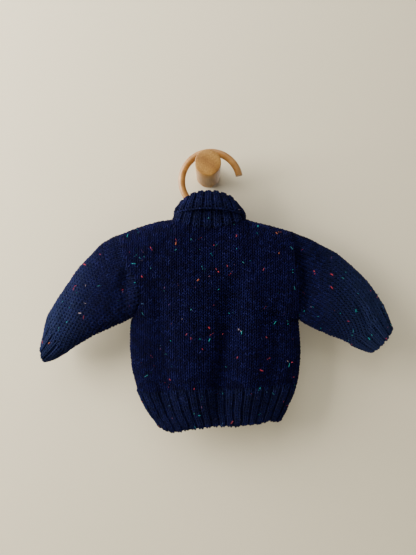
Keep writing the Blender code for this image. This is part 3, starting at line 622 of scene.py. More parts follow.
# ---- meshes and pieces ---------------------------------------------------------------
def new_object(name, mesh, finish=None):
    if finish is not None:
        mesh.materials.clear()
        mesh.materials.append(finish)
    made = bpy.data.objects.new(name, mesh)
    bpy.context.scene.collection.objects.link(made)
    return made


def shell(name, outer, inner, ring, finish):
    """A closed thin shell between two grids of points in mm, all the way round if `ring`."""
    rows, columns = len(outer), len(outer[0])
    form = bmesh.new()
    skins = [[[form.verts.new([c * MM for c in point]) for point in row] for row in face]
             for face in (outer, inner)]
    across = columns if ring else columns - 1
    for skin in skins:
        for r in range(rows - 1):
            for c in range(across):
                n = (c + 1) % columns
                form.faces.new((skin[r][c], skin[r][n], skin[r + 1][n], skin[r + 1][c]))
    out, back = skins
    for r in (0, rows - 1):
        for c in range(across):
            n = (c + 1) % columns
            form.faces.new((out[r][c], out[r][n], back[r][n], back[r][c]))
    if not ring:
        for c in (0, columns - 1):
            for r in range(rows - 1):
                form.faces.new((out[r][c], out[r + 1][c], back[r + 1][c], back[r][c]))
    bmesh.ops.recalc_face_normals(form, faces=form.faces)
    mesh = bpy.data.meshes.new(name)
    form.to_mesh(mesh)
    form.free()
    mesh.shade_smooth()
    mesh.set_sharp_from_angle(angle=math.radians(50))
    return new_object(name, mesh, finish)


def grid(place, across, along, grow):
    return [[place(a, b, grow) for a in across] for b in along]


def plain_mesh(source):
    """The object as a mesh with its modifiers done; the object itself is removed."""
    bpy.context.view_layer.update()
    graph = bpy.context.evaluated_depsgraph_get()
    real = bpy.data.meshes.new_from_object(source.evaluated_get(graph))
    bpy.data.objects.remove(source)
    return real


def grown(source, tree, **inputs):
    """What the node tree makes of the object, as a plain mesh."""
    modifier = source.modifiers.new(tree.name, "NODES")
    modifier.node_group = tree
    sockets = {item.name: item.identifier for item in tree.interface.items_tree
               if item.in_out == "INPUT"}
    for name, value in inputs.items():
        modifier[sockets[name]] = value
    return plain_mesh(source)


def hold(piece, node=None):
    """Rides the piece on the body, in place of its solid where it has one."""
    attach(piece, BODY)
    if node:
        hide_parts(node)


def shares(count, ring=False):
    """Even shares from 0 to 1; round a ring the last one is left out."""
    return [i / count for i in range(count if ring else count + 1)]


# ---- nodes ---------------------------------------------------------------------------
def fill(tree, node, inputs):
    """Each input named takes its value or another node's output."""
    for socket, value in dict(inputs).items():
        if isinstance(value, bpy.types.NodeSocket):
            tree.links.new(value, node.inputs[socket])
        else:
            node.inputs[socket].default_value = value


def linear(code, alpha=1.0):
    """An sRGB hex colour as linear values."""
    parts = [int(code[i:i + 2], 16) / 255 for i in (1, 3, 5)]
    return tuple(c / 12.92 if c <= 0.04045 else ((c + 0.055) / 1.055) ** 2.4
                 for c in parts) + (alpha,)


def add(tree, kind, inputs=(), stops=(), **settings):
    """One node with its settings and links; a colour ramp has (place, hex colour) stops."""
    made = tree.nodes.new(kind)
    for name, value in settings.items():
        setattr(made, name, value)
    fill(tree, made, inputs)
    while stops and len(made.color_ramp.elements) < len(stops):
        made.color_ramp.elements.new(1.0)
    for i, (place, code) in enumerate(stops):
        made.color_ramp.elements[i].position = place
        made.color_ramp.elements[i].color = linear(code)
    return made


def added_up(tree, start, patterns):
    """Patterns added to a start, each by its weight."""
    total = start
    for pattern, weight in patterns:
        total = add(tree, "ShaderNodeMath", {0: pattern, 1: weight, 2: total},
                    operation="MULTIPLY_ADD").outputs[0]
    return total


def new_material(name):
    made = bpy.data.materials.new(name)
    made.use_nodes = True
    return made, made.node_tree, made.node_tree.nodes["Principled BSDF"]


def per_metre(size_mm):
    """The scale of a pattern in Object coordinates whose cells are size_mm wide."""
    return 1.0 / (size_mm * MM)


def wool_material(name, blues, shift, painted_highlight=(0.0, 0.0)):
    """Tweed aran-weight wool, woollen-spun and two-ply: matte, with a soft sheen of fibre.

    Fibres of unlike blues make it heathered, each stitch takes the dye a little
    differently, and the two plies wind slantwise round every leg of yarn. The crests of the
    stitches are painted paler and their hollows darker: painted light and shade. Away from
    the middle, towards the ends of the sleeves, the wool is mixed with a pale blue as a
    painted highlight: `painted_highlight` is its share near the middle and at the ends.
    """
    made, tree, shader = new_material(name)
    coords = add(tree, "ShaderNodeTexCoord").outputs["Object"]
    moved = add(tree, "ShaderNodeMapping", {"Vector": coords, "Location": (shift, 0, 0)})
    heather = add(tree, "ShaderNodeTexNoise",
                  {"Vector": moved.outputs["Vector"], "Scale": per_metre(1.2), "Detail": 2.0,
                   "Roughness": 0.6}).outputs["Fac"]
    fibre = add(tree, "ShaderNodeTexNoise",
                {"Vector": moved.outputs["Vector"], "Scale": per_metre(0.45),
                 "Detail": 2.0}).outputs["Fac"]
    dye = add(tree, "ShaderNodeAttribute", attribute_name="shade").outputs["Fac"]
    on_leg = add(tree, "ShaderNodeAttribute", attribute_name="loop").outputs["Vector"]
    leg = add(tree, "ShaderNodeSeparateXYZ", {"Vector": on_leg}).outputs
    slant = added_up(tree, leg["Y"], ((leg["X"], 2.2),))
    turns = add(tree, "ShaderNodeMath", {0: slant, 1: 19.0}, operation="MULTIPLY")
    ply = add(tree, "ShaderNodeMath", {0: turns.outputs[0]}, operation="SINE").outputs[0]
    # the yarn's Z makes the crests of the stitches paler and the hollows between them darker: painted
    # light and shade
    blend = added_up(tree, -0.32, ((heather, 1.1), (dye, 0.22), (ply, 0.06), (leg["Z"], 0.45)))
    colour = add(tree, "ShaderNodeValToRGB", {"Fac": blend}, tuple(zip(WOOL_PLACES, blues)))
    # painted highlight: the wool is paler with distance from the middle in X, towards the ends of the
    # sleeves
    sideways = add(tree, "ShaderNodeSeparateXYZ", {"Vector": coords}).outputs["X"]
    away = add(tree, "ShaderNodeMath", {0: sideways}, operation="ABSOLUTE")
    highlight_share = add(tree, "ShaderNodeMapRange",
               {"Value": away.outputs[0], "From Min": 140 * MM, "From Max": 215 * MM,
                "To Min": painted_highlight[0], "To Max": painted_highlight[1]})
    highlighted = add(tree, "ShaderNodeMix",
               {"Factor": highlight_share.outputs["Result"], "A": colour.outputs["Color"],
                "B": linear(PAINTED_HIGHLIGHT_BLUE)}, data_type="RGBA")
    bump = add(tree, "ShaderNodeBump", {"Height": added_up(tree, fibre, ((ply, 0.35),)),
                                        "Strength": 0.55, "Distance": 0.5 * MM})
    fill(tree, shader, {"Base Color": highlighted.outputs["Result"], "Normal": bump.outputs["Normal"],
                        "Roughness": 0.92, "Specular IOR Level": 0.06, "Sheen Weight": 0.08,
                        "Sheen Roughness": 0.45, "Sheen Tint": linear(WOOL_SHEEN)})
    return made


def nep_material():
    """Neps: little knots of dyed fibre spun into the tweed, coral, teal, ecru and rust."""
    made, tree, shader = new_material("dyed wool neps")
    tint = add(tree, "ShaderNodeAttribute", attribute_name="tint").outputs["Fac"]
    coords = add(tree, "ShaderNodeTexCoord").outputs["Object"]
    fibre = add(tree, "ShaderNodeTexNoise",
                {"Vector": coords, "Scale": per_metre(0.6), "Detail": 2.0}).outputs["Fac"]
    colour = add(tree, "ShaderNodeValToRGB", {"Fac": tint}, NEP_COLOURS)
    colour.color_ramp.interpolation = "CONSTANT"
    darker = add(tree, "ShaderNodeMapRange", {"Value": fibre, "To Min": 0.65, "To Max": 1.15})
    mixed = add(tree, "ShaderNodeMix",
                {"Factor": 1.0, "A": colour.outputs["Color"], "B": darker.outputs["Result"]},
                data_type="RGBA", blend_type="MULTIPLY")
    bump = add(tree, "ShaderNodeBump", {"Height": fibre, "Strength": 0.5, "Distance": 0.4 * MM})
    fill(tree, shader, {"Base Color": mixed.outputs["Result"], "Normal": bump.outputs["Normal"],
                        "Roughness": 0.9})
    return made


def new_tree(name, source, sockets):
    """A node tree that takes a source geometry and sizes, and the outputs that give them."""
    tree = bpy.data.node_groups.new(name, "GeometryNodeTree")
    face = tree.interface
    face.new_socket("Geometry", in_out="OUTPUT", socket_type="NodeSocketGeometry")
    face.new_socket(source, in_out="INPUT", socket_type="NodeSocketGeometry")
    for key, kind, value in sockets:
        made = face.new_socket(key, in_out="INPUT", socket_type="NodeSocket" + kind)
        if value is not None:
            made.default_value = value
    return tree, add(tree, "NodeGroupInput").outputs


def swept(tree, path, radius, sides):
    """A round section along a path, closed at its ends."""
    profile = add(tree, "GeometryNodeCurvePrimitiveCircle", {"Resolution": sides, "Radius": 1.0})
    return add(tree, "GeometryNodeCurveToMesh",
               {"Curve": path, "Profile Curve": profile.outputs["Curve"], "Scale": radius,
                "Fill Caps": True}).outputs["Mesh"]


# ---- the stitches --------------------------------------------------------------------
def loops_tree(wool, neps):
    """Yarn on cloth: each point of kind 0, 1 or 2 becomes a knit stitch, a purl bump or a
    nep, turned by its `out` and `up` and scaled by its `size`."""
    tree, given = new_tree("yarn on cloth", "Points", (
        ("Yarn sides", "Int", 5), ("Leg steps", "Int", 3), ("Knit radius", "Float", 0.335),
        ("Purl radius", "Float", 0.30), ("Nep radius", "Float", 0.42),
        ("Unevenness", "Float", 0.10), ("Wander", "Float", 0.22 * MM), ("Seed", "Int", 7)))

    def yarn(line, radius, taper):
        """A bent piece of yarn, thinner at its two ends."""
        start, pull, back, end = line
        path = add(tree, "GeometryNodeCurvePrimitiveBezierSegment",
                   {"Start": start, "Start Handle": pull, "End Handle": back, "End": end,
                    "Resolution": given["Leg steps"]})
        place = add(tree, "GeometryNodeSplineParameter").outputs["Factor"]
        half_turn = add(tree, "ShaderNodeMath", {0: place, 1: math.pi}, operation="MULTIPLY")
        belly = add(tree, "ShaderNodeMath", {0: half_turn.outputs[0]}, operation="SINE")
        belly = added_up(tree, taper, ((belly.outputs[0], 1 - taper),))
        wide = add(tree, "ShaderNodeMath", {0: belly, 1: radius}, operation="MULTIPLY")
        return swept(tree, path.outputs["Curve"], wide.outputs[0], given["Yarn sides"])

    def both_legs(leg):
        turned_over = add(tree, "GeometryNodeTransform",
                          {"Geometry": leg, "Scale": (-1.0, 1.0, 1.0)})
        other = add(tree, "GeometryNodeFlipFaces", {"Mesh": turned_over.outputs["Geometry"]})
        joined = add(tree, "GeometryNodeJoinGeometry")
        for part in (leg, other.outputs["Mesh"]):
            tree.links.new(part, joined.inputs["Geometry"])
        return joined.outputs["Geometry"]

    def sway(salt, reach):
        """A random vector for each stitch, up to `reach` either way."""
        seed = add(tree, "ShaderNodeMath", {0: given["Seed"], 1: salt}, operation="ADD")
        drawn = add(tree, "FunctionNodeRandomValue",
                    {"Min": (-1.0,) * 3, "Max": (1.0,) * 3, "Seed": seed.outputs[0]},
                    data_type="FLOAT_VECTOR")
        return add(tree, "ShaderNodeVectorMath", {0: drawn.outputs["Value"], "Scale": reach},
                   operation="SCALE").outputs["Vector"]

    told = {name: add(tree, "GeometryNodeInputNamedAttribute", {"Name": name},
                      data_type=kind).outputs["Attribute"]
            for name, kind in (("out", "FLOAT_VECTOR"), ("up", "FLOAT_VECTOR"),
                               ("size", "FLOAT_VECTOR"), ("kind", "INT"))}
    moved = add(tree, "GeometryNodeSetPosition",
                {"Geometry": given["Points"], "Offset": sway(11, given["Wander"])})
    up = add(tree, "ShaderNodeVectorMath", {0: told["up"], 1: sway(23, given["Unevenness"])},
             operation="ADD")
    rotation = add(tree, "FunctionNodeAxesToRotation",
                   {"Primary Axis": told["out"], "Secondary Axis": up.outputs["Vector"]},
                   primary_axis="Z", secondary_axis="Y")
    stretch = add(tree, "ShaderNodeVectorMath",
                  {0: sway(37, given["Unevenness"]), 1: (1.0, 1.0, 1.0)}, operation="ADD")
    scale = add(tree, "ShaderNodeVectorMath", {0: told["size"], 1: stretch.outputs["Vector"]},
                operation="MULTIPLY")
    knit = both_legs(yarn(KNIT_LEG, given["Knit radius"], 0.6))
    purl = yarn(PURL_BUMP, given["Purl radius"], 0.7)
    nep = yarn(NEP_LINE, given["Nep radius"], 0.5)
    joined = add(tree, "GeometryNodeJoinGeometry")
    local = add(tree, "GeometryNodeInputPosition").outputs["Position"]
    for kind, piece, finish in ((KNIT, knit, wool), (PURL, purl, wool), (NEP, nep, neps)):
        marked = add(tree, "GeometryNodeStoreNamedAttribute",
                     {"Geometry": piece, "Name": "loop", "Value": local},
                     data_type="FLOAT_VECTOR", domain="POINT")
        chosen = add(tree, "FunctionNodeCompare", {"A": told["kind"], "B": kind},
                     data_type="INT", operation="EQUAL")
        laid = add(tree, "GeometryNodeInstanceOnPoints",
                   {"Points": moved.outputs["Geometry"], "Selection": chosen.outputs["Result"],
                    "Instance": marked.outputs["Geometry"],
                    "Rotation": rotation.outputs["Rotation"], "Scale": scale.outputs["Vector"]})
        real = add(tree, "GeometryNodeRealizeInstances", {"Geometry": laid.outputs["Instances"]})
        soft = add(tree, "GeometryNodeSetShadeSmooth", {"Geometry": real.outputs["Geometry"]})
        dyed = add(tree, "GeometryNodeSetMaterial",
                   {"Geometry": soft.outputs["Geometry"], "Material": finish})
        tree.links.new(dyed.outputs["Geometry"], joined.inputs["Geometry"])
    add(tree, "NodeGroupOutput", {"Geometry": joined.outputs["Geometry"]})
    return tree


Loop = namedtuple("Loop", "at out up size kind tint")


def frame_at(place, a, b, lift, outward):
    """Where a stitch lies: its point, and the cloth's stretch across it, along it and out."""
    at = np.array(place(a, b, lift))
    b_low, b_high = b - TINY if b < TINY else max(b - TINY, 0.0), min(b + TINY, 1.0)
    across = (np.array(place(a + TINY, b)) - np.array(place(a - TINY, b))) / (2 * TINY)
    up = (np.array(place(a, b_high)) - np.array(place(a, b_low))) / (b_high - b_low)
    out = np.cross(across, up) * outward
    return at, across, up, out / np.linalg.norm(out)


def stitch(place, a, b, wide, high, kind, outward, lift=STITCH_LIFT, down=False):
    """One stitch; `wide` and `high` are its shares of the piece's width and height."""
    at, across, up, out = frame_at(place, a, b, lift, outward)
    size = (min(np.linalg.norm(across) * wide, WIDEST), min(np.linalg.norm(up) * high, HIGHEST),
            YARN_DEPTH)
    up = up / np.linalg.norm(up) * (-1 if down else 1)
    return Loop(at, out, up, size, kind, 0.0)


def strew_neps(loops, seed):
    """Neps that lie on some of the stitches, mostly along the leg of the yarn."""
    draw = random.Random(seed)
    neps = []
    for loop in loops:
        if loop.kind != KNIT or draw.random() > NEP_SHARE:
            continue
        side = np.cross(loop.up, loop.out)
        lean = draw.gauss(0.0, NEP_LEAN_SPREAD) + draw.choice((-NEP_LEAN, NEP_LEAN))
        if draw.random() < CROSS_NEPS:
            lean += math.pi / 2
        up = loop.up * math.cos(lean) + side * math.sin(lean)
        at = loop.at + loop.out * draw.uniform(*NEP_RISE)
        at = at + side * draw.choice((-NEP_ASIDE, NEP_ASIDE)) * loop.size[0]
        wide = draw.uniform(*NEP_WIDTH)
        size = (wide, lerp(*NEP_LENGTH, draw.random() ** NEP_SHORTNESS), NEP_FLATNESS * wide)
        if draw.random() < LOOSE_NEPS:
            up = up * 0.5 + loop.out
            at = at + loop.out
        out = np.cross(np.cross(up, loop.out), up)
        neps.append(Loop(at, out, up, size, NEP, draw.random()))
    return neps


def yarn_piece(name, loops, tree, seed):
    """The loops as one plain mesh."""
    mesh = bpy.data.meshes.new(name + "_points")
    mesh.from_pydata([tuple(c * MM for c in loop.at) for loop in loops], [], [])
    draw = random.Random(seed)
    for key, kind, values in (
            ("out", "FLOAT_VECTOR", [loop.out for loop in loops]),
            ("up", "FLOAT_VECTOR", [loop.up for loop in loops]),
            ("size", "FLOAT_VECTOR", [[c * MM for c in loop.size] for loop in loops]),
            ("kind", "INT", [loop.kind for loop in loops]),
            ("tint", "FLOAT", [loop.tint for loop in loops]),
            ("shade", "FLOAT", [draw.random() for _ in loops])):
        values = np.array(values, dtype=np.int32 if kind == "INT" else np.float32)
        made = mesh.attributes.new(key, kind, "POINT")
        made.data.foreach_set("vector" if values.ndim > 1 else "value", values.ravel())
    real = grown(new_object(name + "_points", mesh), tree, Seed=seed)
    for key in ("out", "up", "size", "kind"):
        if key in real.attributes:
            real.attributes.remove(real.attributes[key])
    real.name = name
    return new_object(name, real)


# ---- pieces of cloth -----------------------------------------------------------------
def rib_stitches(place, ribs, height, outward, span=(0.0, 1.0), row_height=RIB_ROW_HEIGHT,
                 down=False, selvedge=False):
    """Two-by-two rib over a span of the cloth: two knit wales on each ridge, and in the
    groove purl bumps from every row and, a little deeper, from between the rows. With a
    selvedge the last groove is a knit wale instead, which keeps the edge neat."""
    low, top = span
    rows = max(1, round(height * (top - low) / row_height))
    high = (top - low) / rows
    loops = []
    for r in range(rows):
        b = lerp(low, top, (r + 0.5) / rows)
        for rib in range(ribs):
            neat = selvedge and rib == ribs - 1
            for wale in (*RIB_WALES, PURL_MIDDLE) if neat else RIB_WALES:
                loops.append(stitch(place, (rib + wale) / ribs, b, RIB_WALE_WIDTH / ribs, high,
                                    KNIT, outward, down=down))
            bumps = (0.0,) if r == rows - 1 else (0.0, 0.5)
            for step in () if neat else bumps:
                loops.append(stitch(place, (rib + PURL_MIDDLE) / ribs, b + step * high,
                                    PURL_WIDTH / ribs, high * PURL_HIGH, PURL, outward,
                                    STITCH_LIFT - PURL_SINK * (1 + step), down))
    return loops


def edge_loops(place, count, b, outward, down=False):
    """The bumpy cast-on or cast-off edge of a welt: one fat loop for each stitch."""
    return [stitch(place, (i + 0.5) / count, b, 1 / count, EDGE_LOOP_HIGH, PURL, outward,
                   STITCH_LIFT - EDGE_LOOP_SINK, down)
            for i in range(count)]


# the second is the shell's material, in darker blues: painted shade under the stitches
Yarn = namedtuple("Yarn", "tree lining")


def finish_cloth(name, place, across, along, loops, yarn, seed, flat, ring=False,
                 inner=None):
    """A shell with its stitches in place of its solid; `flat`, its flat size in mm, is not
    used. An `inner` place gives the shell's other face; else it lies a little deeper."""
    neps = strew_neps(loops, seed)
    base = shell(name + "_cloth", grid(place, across, along, SHELL_OUT),
                 grid(inner or place, across, along, SHELL_OUT if inner else SHELL_IN),
                 ring, yarn.lining)
    stitches = yarn_piece(name + "_stitches", loops + neps, yarn.tree, seed)
    hold(base, name)
    hold(stitches)


def body_stitches(cut):
    """Knit stitches of a body panel, in rows that end where its side edge cuts them, and a
    purl row along the neck's seam."""
    place, reach, height = upright_wales(cut, WELT_V, 1.0)
    rows = round(height / ROW_HEIGHT)
    loops = []
    for r in range(rows):
        b = (r + 0.5) / rows
        low, high = reach(b)
        for k in range(math.floor(low), math.ceil(high)):
            if low - EDGE_OVERHANG < k + 0.5 < high + EDGE_OVERHANG:
                middle = clamp(k + 0.5, low + EDGE_INSET, high - EDGE_INSET)
                loops.append(stitch(place, middle, b, 1.0, 1 / rows, KNIT, cut.outward))
    low, high = reach(1.0)
    for k in range(math.ceil(low), math.floor(high)):
        if abs(place(k + 0.5, 1.0)[0] - NECK_X) < NECK_HALF - SEAM_ROW_INSET:
            loops.append(stitch(place, k + 0.5, 1.0, SEAM_ROW_WIDE, SEAM_ROW_HIGH / rows, PURL,
                                cut.outward))
    return loops


def make_panels(yarn):
    """The back and the two fronts, in stocking stitch."""
    for name, seed, (across, along) in (("back", 11, BACK_MESH), ("left_front", 21, FRONT_MESH),
                                        ("right_front", 22, FRONT_MESH)):
        place, width, height = panel(CUTS[name], WELT_V, 1.0)
        finish_cloth(name, place, shares(across), shares(along),
                     body_stitches(CUTS[name]), yarn, seed, (width, height))


def make_welts(yarn):
    """The ribbed foot of the back and of each front."""
    top = WELT_V - WELT_SEAM / (edge_height("left", 1) - edge_height("left", 0))
    for_rib, along = WELT_MESH
    for seed, (name, cut) in enumerate(CUTS.items(), 31):
        _, width, _ = panel(cut, 0.0, top)
        ribs = max(1, round(width / HEM_RIB_PITCH))
        place, width, height = panel(cut, 0.0, top, ribs)
        loops = rib_stitches(place, ribs, height, cut.outward)
        loops += edge_loops(place, ribs * RIB_STITCHES, 0.0, cut.outward)
        finish_cloth(name + "_welt", place, shares(ribs * for_rib), shares(along),
                     loops, yarn, seed, (width * RIB_DRAW, height))


def make_sleeves(yarn):
    """Tubes of stocking stitch, knit from the armhole down."""
    around, along = SLEEVE_MESH
    for seed, (side, outward) in enumerate(SIDES.items(), 41):
        place, length, rings = tube(side, SLEEVE[side], gap=ARMHOLE_SEAM)
        rows = round(length * SLEEVE_SLACK / ROW_HEIGHT)
        loops = []
        for r in range(rows):
            b = (r + 0.5) / rows
            girth = float(np.interp(b * RING_STEPS, range(RING_STEPS + 1), rings))
            wales = int((girth / 2 - STITCH_WIDTH * EDGE_WALE_ROOM) / STITCH_WIDTH + 0.5)
            for w in range(wales):
                reach = (w + 0.5) * STITCH_WIDTH / girth
                for a in (reach, 1 - reach):
                    loops.append(stitch(place, a, b, STITCH_WIDTH / girth, 1 / rows, KNIT,
                                        outward, down=True))
        finish_cloth(f"{side}_sleeve", place, shares(around, True), shares(along),
                     loops, yarn, seed, (float(np.mean(rings)), length), ring=True)


def make_cuffs(yarn):
    """The ribbed ends of the sleeves."""
    for_rib, along = WELT_MESH
    for seed, (side, outward) in enumerate(SIDES.items(), 51):
        _, _, rings = tube(side, CUFF[side])
        ribs = max(1, round(rings[RING_STEPS // 2] / CUFF_RIB_PITCH))
        place, length, rings = tube(side, CUFF[side], ribs)
        loops = rib_stitches(place, ribs, length * CUFF_SLACK, outward, down=True)
        loops += edge_loops(place, ribs * RIB_STITCHES, 1.0, outward, down=True)
        finish_cloth(f"{side}_cuff", place, shares(ribs * for_rib, True),
                     shares(along), loops, yarn, seed,
                     (float(np.mean(rings)) * RIB_DRAW, length), ring=True)


def make_collar(yarn):
    """A stand in rib that folds over: its inner side is then the one that shows."""
    for_rib, along = COLLAR_MESH
    ribs = round(collar(1, 1)[1] / COLLAR_RIB_PITCH)
    standing, length, outer_height = collar(1, ribs)
    showing, _, inner_height = collar(-1, ribs)
    loops = rib_stitches(standing, ribs, outer_height, 1, STAND_ROWS, selvedge=True)
    loops += rib_stitches(showing, ribs, inner_height, -1, FALL_ROWS, COLLAR_ROW_HEIGHT,
                          selvedge=True)
    loops += edge_loops(showing, ribs * RIB_STITCHES, 1.0, -1)
    finish_cloth("collar", standing, shares(ribs * for_rib),
                 [COLLAR_FOOT] + shares(along), loops, yarn, 61, (length, inner_height),
                 inner=showing)


def band_point(x_off, v, out):
    x, y, z = body_point("front", share_across(band_middle(v) + x_off, v), v)
    return x, y + out, z


def make_bands(yarn):
    """The buttonhole band, and the button band that lies under it."""
    half = BAND_WIDTH / 2
    length = edge_height("right", 1) - edge_height("right", 0)
    ribs = round(length / BAND_RIB_PITCH)

    def outer_band(a, b, grow=0.0):
        return band_point(lerp(-half, half, b), a, grow + RIB_RISE * rib_rise(a * ribs))

    def under_band(a, b, grow=0.0):
        depth = -CLOTH_IN_BAND - UNDER_GAP
        return band_point(lerp(-half, half + BAND_LAP, b), a, depth + grow * UNDER_THIN)

    bands = (("buttonhole_band", outer_band, BAND_WIDTH, OUTER_BAND_ROWS, OUTER_BAND_MESH),
             ("button_band", under_band, BAND_WIDTH + BAND_LAP, UNDER_BAND_ROWS,
              UNDER_BAND_MESH))
    for seed, (name, place, width, span, (for_rib, along)) in enumerate(bands, 71):
        loops = rib_stitches(place, ribs, width, -1, span)
        finish_cloth(name, place, shares(ribs * for_rib), shares(along), loops,
                     yarn, seed, (length * BAND_DRAW, width))


# ---- buttons -------------------------------------------------------------------------
def turned(name, profile, steps):
    """A solid of revolution about Z from (radius, height) points in mm, top to bottom."""
    form = bmesh.new()
    verts = [form.verts.new((x * MM, 0, z * MM)) for x, z in profile]
    edges = [form.edges.new(pair) for pair in zip(verts, verts[1:])]
    bmesh.ops.spin(form, geom=verts + edges, cent=(0, 0, 0), axis=(0, 0, 1),
                   angle=2 * math.pi, steps=steps, use_merge=True)
    bmesh.ops.remove_doubles(form, verts=form.verts, dist=0.01 * MM)
    bmesh.ops.recalc_face_normals(form, faces=form.faces)
    mesh = bpy.data.meshes.new(name)
    form.to_mesh(mesh)
    form.free()
    mesh.shade_smooth()
    mesh.set_sharp_from_angle(angle=math.radians(40))
    return mesh


def horn_material():
    """Polyester horn: cast, tumbled, dark with smoky paler streaks, and a satin gloss."""
    made, tree, shader = new_material("polyester horn button")
    coords = add(tree, "ShaderNodeTexCoord").outputs["Object"]
    stretched = add(tree, "ShaderNodeMapping", {"Vector": coords, "Scale": (1.0, 1.0, 0.35)})
    streaks = add(tree, "ShaderNodeTexNoise",
                  {"Vector": stretched.outputs["Vector"], "Scale": per_metre(4.0), "Detail": 4.0,
                   "Distortion": 1.2})
    colour = add(tree, "ShaderNodeValToRGB", {"Fac": streaks.outputs["Fac"]}, HORN_COLOURS)
    fill(tree, shader, {"Base Color": colour.outputs["Color"], "Roughness": 0.32, "IOR": 1.56})
    return made


def drilled_disc(horn):
    """A button's turned disc with its four holes, as a plain mesh."""
    profile = [(x * BUTTON_RADIUS, z * BUTTON_THICK) for x, z in BUTTON_PROFILE]
    disc = new_object("button", turned("button", profile, 48), horn)
    drills = []
    for sx, sy in product((-1, 1), repeat=2):
        mesh = bpy.data.meshes.new("hole")
        form = bmesh.new()
        bmesh.ops.create_cone(form, cap_ends=True, segments=14, radius1=BUTTON_HOLE_RADIUS * MM,
                              radius2=BUTTON_HOLE_RADIUS * MM, depth=3 * BUTTON_THICK * MM)
        form.to_mesh(mesh)
        form.free()
        drill = new_object("hole", mesh)
        drill.location = (sx * BUTTON_HOLE_AT * MM, sy * BUTTON_HOLE_AT * MM, 0)
        cut = disc.modifiers.new("hole", "BOOLEAN")
        cut.object, cut.operation = drill, "DIFFERENCE"
        drills.append(drill)
    drilled = plain_mesh(disc)
    for drill in drills:
        bpy.data.objects.remove(drill)
    drilled.shade_smooth()
    drilled.set_sharp_from_angle(angle=math.radians(40))
    return drilled


def make_buttons(wool):
    """Four-hole buttons, sewn with crossed threads."""
    horn = horn_material()
    drilled = drilled_disc(horn)
    for i in range(BUTTONS):
        v = lerp(FIRST_BUTTON_V, LAST_BUTTON_V, i / (BUTTONS - 1))
        at = band_point(0.0, v, RIB_RISE + SEAM)
        mesh = drilled.copy()
        place_mesh(mesh, at)
        hold(new_object(f"button_disc_{i + 1}", mesh, horn), f"button_{i + 1}")
        hold(sewing_thread(f"button_thread_{i + 1}", at, wool))


def place_mesh(mesh, at):
    """Lays a piece that was made facing +Z against the fronts, facing the wall."""
    mesh.transform(Matrix.Translation([c * MM for c in at]) @ Matrix.Rotation(-math.pi / 2, 4, "X"))


def sewing_thread(name, at, finish):
    """Two crossed stitches of thread through the button's holes."""
    curve = bpy.data.curves.new(name, "CURVE")
    curve.dimensions = "3D"
    curve.bevel_depth = THREAD_RADIUS * MM
    curve.bevel_resolution = 2
    curve.use_fill_caps = True
    low, high = THREAD_FOOT, BUTTON_PROFILE[0][1] * BUTTON_THICK + THREAD_TOP
    for sx, crossing in ((-1, 0), (1, THREAD_CROSSING)):
        spline = curve.splines.new("POLY")
        points = ((-1, low), (-0.98, high - 0.5), (-0.7, high), (0, high + crossing),
                  (0.7, high), (0.98, high - 0.5), (1, low))
        spline.points.add(len(points) - 1)
        for target, (share, z) in zip(spline.points, points):
            x = share * BUTTON_HOLE_AT * MM
            target.co = (x, sx * x, z * MM, 1)
    mesh = plain_mesh(new_object(name, curve))
    place_mesh(mesh, at)
    mesh.shade_smooth()
    return new_object(name, mesh, finish)


# ---- hanger and peg ------------------------------------------------------------------
def rod_tree():
    """A round rod along a path, a little uneven in thickness, with its own coordinates."""
    tree, given = new_tree("cane rod", "Path", (
        ("Radius", "Float", CANE_RADIUS * MM), ("Sides", "Int", 28), ("Step", "Float", 1.6 * MM),
        ("Unevenness", "Float", 0.035), ("Cane", "Material", None)))
    path = add(tree, "GeometryNodeMeshToCurve", {"Mesh": given["Path"]})
    fine = add(tree, "GeometryNodeResampleCurve",
               {"Curve": path.outputs["Curve"], "Length": given["Step"]}, mode="LENGTH")
    along = add(tree, "GeometryNodeSplineParameter").outputs["Length"]
    marked = add(tree, "GeometryNodeStoreNamedAttribute",
                 {"Geometry": fine.outputs["Curve"], "Name": "along", "Value": along},
                 data_type="FLOAT", domain="POINT")
    lumps = add(tree, "ShaderNodeTexNoise", {"W": along, "Scale": per_metre(22), "Detail": 1.0},
                noise_dimensions="1D").outputs["Fac"]
    lumps = add(tree, "ShaderNodeMapRange", {"Value": lumps, "To Min": -1.0, "To Max": 1.0})
    lumps = added_up(tree, 1.0, ((lumps.outputs["Result"], given["Unevenness"]),))
    wide = add(tree, "ShaderNodeMath", {0: lumps, 1: given["Radius"]}, operation="MULTIPLY")
    cane = swept(tree, marked.outputs["Geometry"], wide.outputs[0], given["Sides"])
    soft = add(tree, "GeometryNodeSetShadeSmooth", {"Geometry": cane})
    real = add(tree, "GeometryNodeRealizeInstances", {"Geometry": soft.outputs["Geometry"]})
    dyed = add(tree, "GeometryNodeSetMaterial",
               {"Geometry": real.outputs["Geometry"], "Material": given["Cane"]})
    add(tree, "NodeGroupOutput", {"Geometry": dyed.outputs["Geometry"]})
    return tree


def cane_material():
    """Steamed and bent cane under thin varnish: honey coloured, with fine long fibres."""
    made, tree, shader = new_material("varnished cane")
    coords = add(tree, "ShaderNodeTexCoord").outputs["Object"]
    along = add(tree, "ShaderNodeAttribute", attribute_name="along").outputs["Fac"]
    blotch = add(tree, "ShaderNodeTexNoise", {"W": along, "Scale": per_metre(14), "Detail": 3.0},
                 noise_dimensions="1D").outputs["Fac"]
    fibres = add(tree, "ShaderNodeTexNoise",
                 {"Vector": coords, "W": along, "Scale": per_metre(0.9), "Detail": 3.0,
                  "Distortion": 0.6}, noise_dimensions="4D").outputs["Fac"]
    blend = added_up(tree, 0.0, ((fibres, 0.45), (blotch, 0.55)))
    colour = add(tree, "ShaderNodeValToRGB", {"Fac": blend}, CANE_COLOURS)
    bump = add(tree, "ShaderNodeBump", {"Height": fibres, "Strength": 0.25,
                                        "Distance": 0.25 * MM})
    fill(tree, shader, {"Base Color": colour.outputs["Color"], "Normal": bump.outputs["Normal"],
                        "Roughness": 0.38, "Coat Weight": 0.25, "Coat Roughness": 0.3})
    return made


